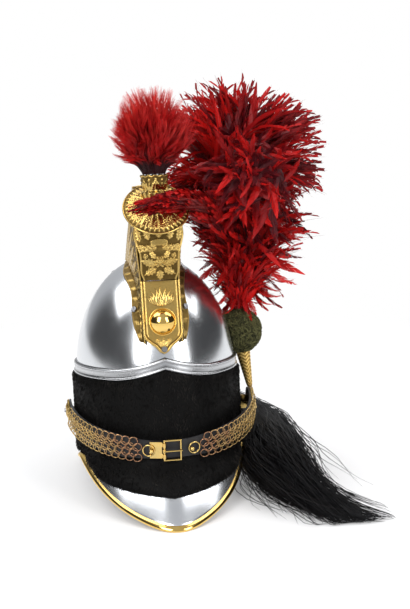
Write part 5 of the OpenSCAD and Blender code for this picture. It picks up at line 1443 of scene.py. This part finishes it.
def makeMane(name, node, s0, s1, ref, n, steps, seed, stray):
    path = manePath()
    last = s1 == 1
    r = np.random.default_rng(seed)

    def one():
        return r.uniform(0, 1, n)

    def world(q):
        return (q + [0, 0, floorZ * 1000]) / 1000
    s = np.linspace(s0, min(s1, 0.85), 26)
    p, side, up, rad = maneFrame(path, s, ref)
    ring = tubeRings(p, side, up, 0.84 * rad[:, None, None], np.arange(0, 360, 20))
    if last:
        thin = np.interp(s, [0.66, 0.85], [1, 0.45])[:, None, None]
        ring = p[:, None] + (ring - p[:, None]) * thin
    ring[..., 2] = np.maximum(ring[..., 2], 0.9)
    core = gridMesh("core", world(ring), hair, ends=True, marks={"tone": np.zeros(ring.shape[:2])})
    lockN = 70
    lockA, lockR = r.uniform(0, 360, lockN), np.sqrt(r.uniform(0.25, 1, lockN))
    which = r.integers(0, lockN, n)
    a = (lockA[which] + r.normal(0, 16, n))[:, None]
    far = np.clip(lockR[which] + r.normal(0, 0.10, n), 0.55, 1.05)[:, None]
    begin = np.where(one() < 0.6, s0, r.uniform(s0, mix(s0, s1, 0.5), n))[:, None]
    end = np.where(one() < (0.10 if last else 0.62), s1,
                   mix(mix(s0, s1, 0.60), s1, one() ** (1.3 if last else 1.0)))[:, None]
    k = np.linspace(0, 1, steps)
    ss = mix(begin, end, k)
    p, side, up, rad = (v.reshape((n, steps) + v.shape[1:])
                        for v in maneFrame(path, ss.ravel(), ref))
    phase = r.uniform(0, 7, n)[:, None]
    twist = (a + 55 * (ss - s0) + 9 * np.sin(ss * 34 + phase))[..., None]
    wild = (one() > 1 - stray)[:, None] * k ** 2 * r.uniform(0.25, 1.1 if last else 2.0, n)[:, None]
    loose = far * (1 + 0.05 * np.sin(ss * 60 + phase * 2)) \
        * (1 + wild + last * 0.5 * k ** 3 * one()[:, None] ** 2)
    q = p + (rad * loose)[..., None] * (side * cosd(twist) + up * sind(twist))
    kk = k[None, :, None]
    if last:
        # Ends part into wisps, and many hairs stray to the front and curl
        wisp = r.normal(0, 1, (lockN, 2))[which] * [16, 15]
        wisp = wisp + r.normal(0, 1, (n, 2)) * 4.5 - [14, 5]
        q[..., :2] += wisp[:, None, :] * np.clip((ss - 0.58) / 0.42, 0, 1)[..., None] ** 1.4
        free = (one() < 0.32)[:, None]
        drift = vec(r.normal(-5, 15, n), -np.abs(r.normal(0, 24, n)), 0) * free
        curls = np.sin(kk * r.uniform(4, 13, n)[:, None, None] + phase[..., None]) \
            * vec(*r.normal(0, 3.5, (2, n)), 0)[:, None, :]
        q += drift[:, None, :] * kk ** 2.4 + curls * kk * free[:, None]
    else:
        # Long loose loops stand off from the fall
        free = (one() < 0.03)[:, None]
        loops = vec(r.normal(16, 26, n), r.normal(0, 10, n), r.uniform(-4, 34, n)) * free
        q += loops[:, None, :] * np.sin(pi * kk) ** 1.6
    # No hair leaves the part's box or sinks into the ground
    q[..., 0] = np.minimum(q[..., 0], 224 + 6 * one()[:, None])
    q[..., 1] = np.clip(q[..., 1], -194 - 8 * one()[:, None], 210 + 7 * one()[:, None])
    q[..., 2] = np.maximum(q[..., 2], 0.5 + 0.6 * one()[:, None])
    tone = 0.7 * r.uniform(0, 1, lockN)[which] + 0.3 * one()
    strands(name, node, world(q), np.interp(k, [0, 0.1, 0.8, 1], [0.8, 1, 1, 0.2]), tone, hair,
            0.00042, "helmet", core)


many = count(1.0)
makeMane("mane_fall_hair", "mane_fall", 0.0, mane["split"], [0, 1.0, 1.0], int(1500 * many), 14,
         31, 0.02)
makeMane("mane_sweep_hair", "mane_sweep", mane["split"], 1.0, [0, 0, 1.0], int(1550 * many), 20,
         32, 0.22)
print("mane made")


# Rosettes of the strap: a turned back with petals and a rayed ring on its face
def makeRosette(s, name, node):
    x0 = skull["a"] - sheet
    long = (skull["a"] + 7.4 + (3.4 if s < 0 else 11)) - x0
    turn = np.arange(0, 360, 2.0)
    back = np.array([(1.25, 0), (2.4, 0), (2.4, 6.4), (4.2, 6.4), (4.2, long - 2.2),
                     (2.4, long - 2.2), (2.4, long), (12.4, long), (13, long + 0.5),
                     (13, long + 1.2)])
    r = np.linspace(12.6, 3.4, 60)[:, None]
    z = np.interp(r, [3.9, 4.9, 7.8, 9.6, 11.2, 13.0], [3.6, 4.2, 3.2, 1.5, 2.2, 1.2])
    high = np.abs(cosd(turn * 6)) ** 0.6 * step(7.2, 8.2, r) * step(12.6, 11.9, r)
    high = high + 0.8 * np.abs(sind(turn * 12)) ** 0.5 * step(4.2, 4.9, r) * step(7.6, 7.0, r)
    zero = 0 * turn
    zz = np.concatenate([back[:, 1:] + zero, long + z + 0.55 * high, [[long + 3.6], [0]] + zero])
    rad = np.concatenate([back[:, :1], r, [[1.3], [1.25]]])
    wearAndPaintedLight = np.full(zz.shape, 0.4)
    wearAndPaintedLight[len(back):-2] = np.clip(0.3 + 0.6 * high, 0, 1)
    pts = vec(s * (x0 + zz), 3 + rad * cosd(turn), 43 + rad * sind(turn))
    dress(gridMesh(name, stand(pts), brass, flip=s > 0, marks={"relief": wearAndPaintedLight}),
          "helmet", node)


makeRosette(-1, "rosette_right_petalled", "rosette_right")
makeRosette(1, "rosette_left_petalled", "rosette_left")
print("strap made")

# Finishes of the solids that are shown as they are
looks = ((steel, "visor_rivets neck_guard_rivets"),
         (screwSteel, "crest_nuts rosette_nuts rosette_screws crest_screws"),
         (plainBrass, "mane_clamp plume_socket tuft_spindle chain_end_links strap_studs"
                      " buckle_chape buckle_frame buckle_prong"),
         (wire, "chain_mesh_right chain_mesh_left"),
         (leather, "strap_leather_right strap_leather_left"))
for mat, nodes in looks:
    for node in nodes.split():
        for s in frame["nodes"][node].material_slots:
            s.material = mat
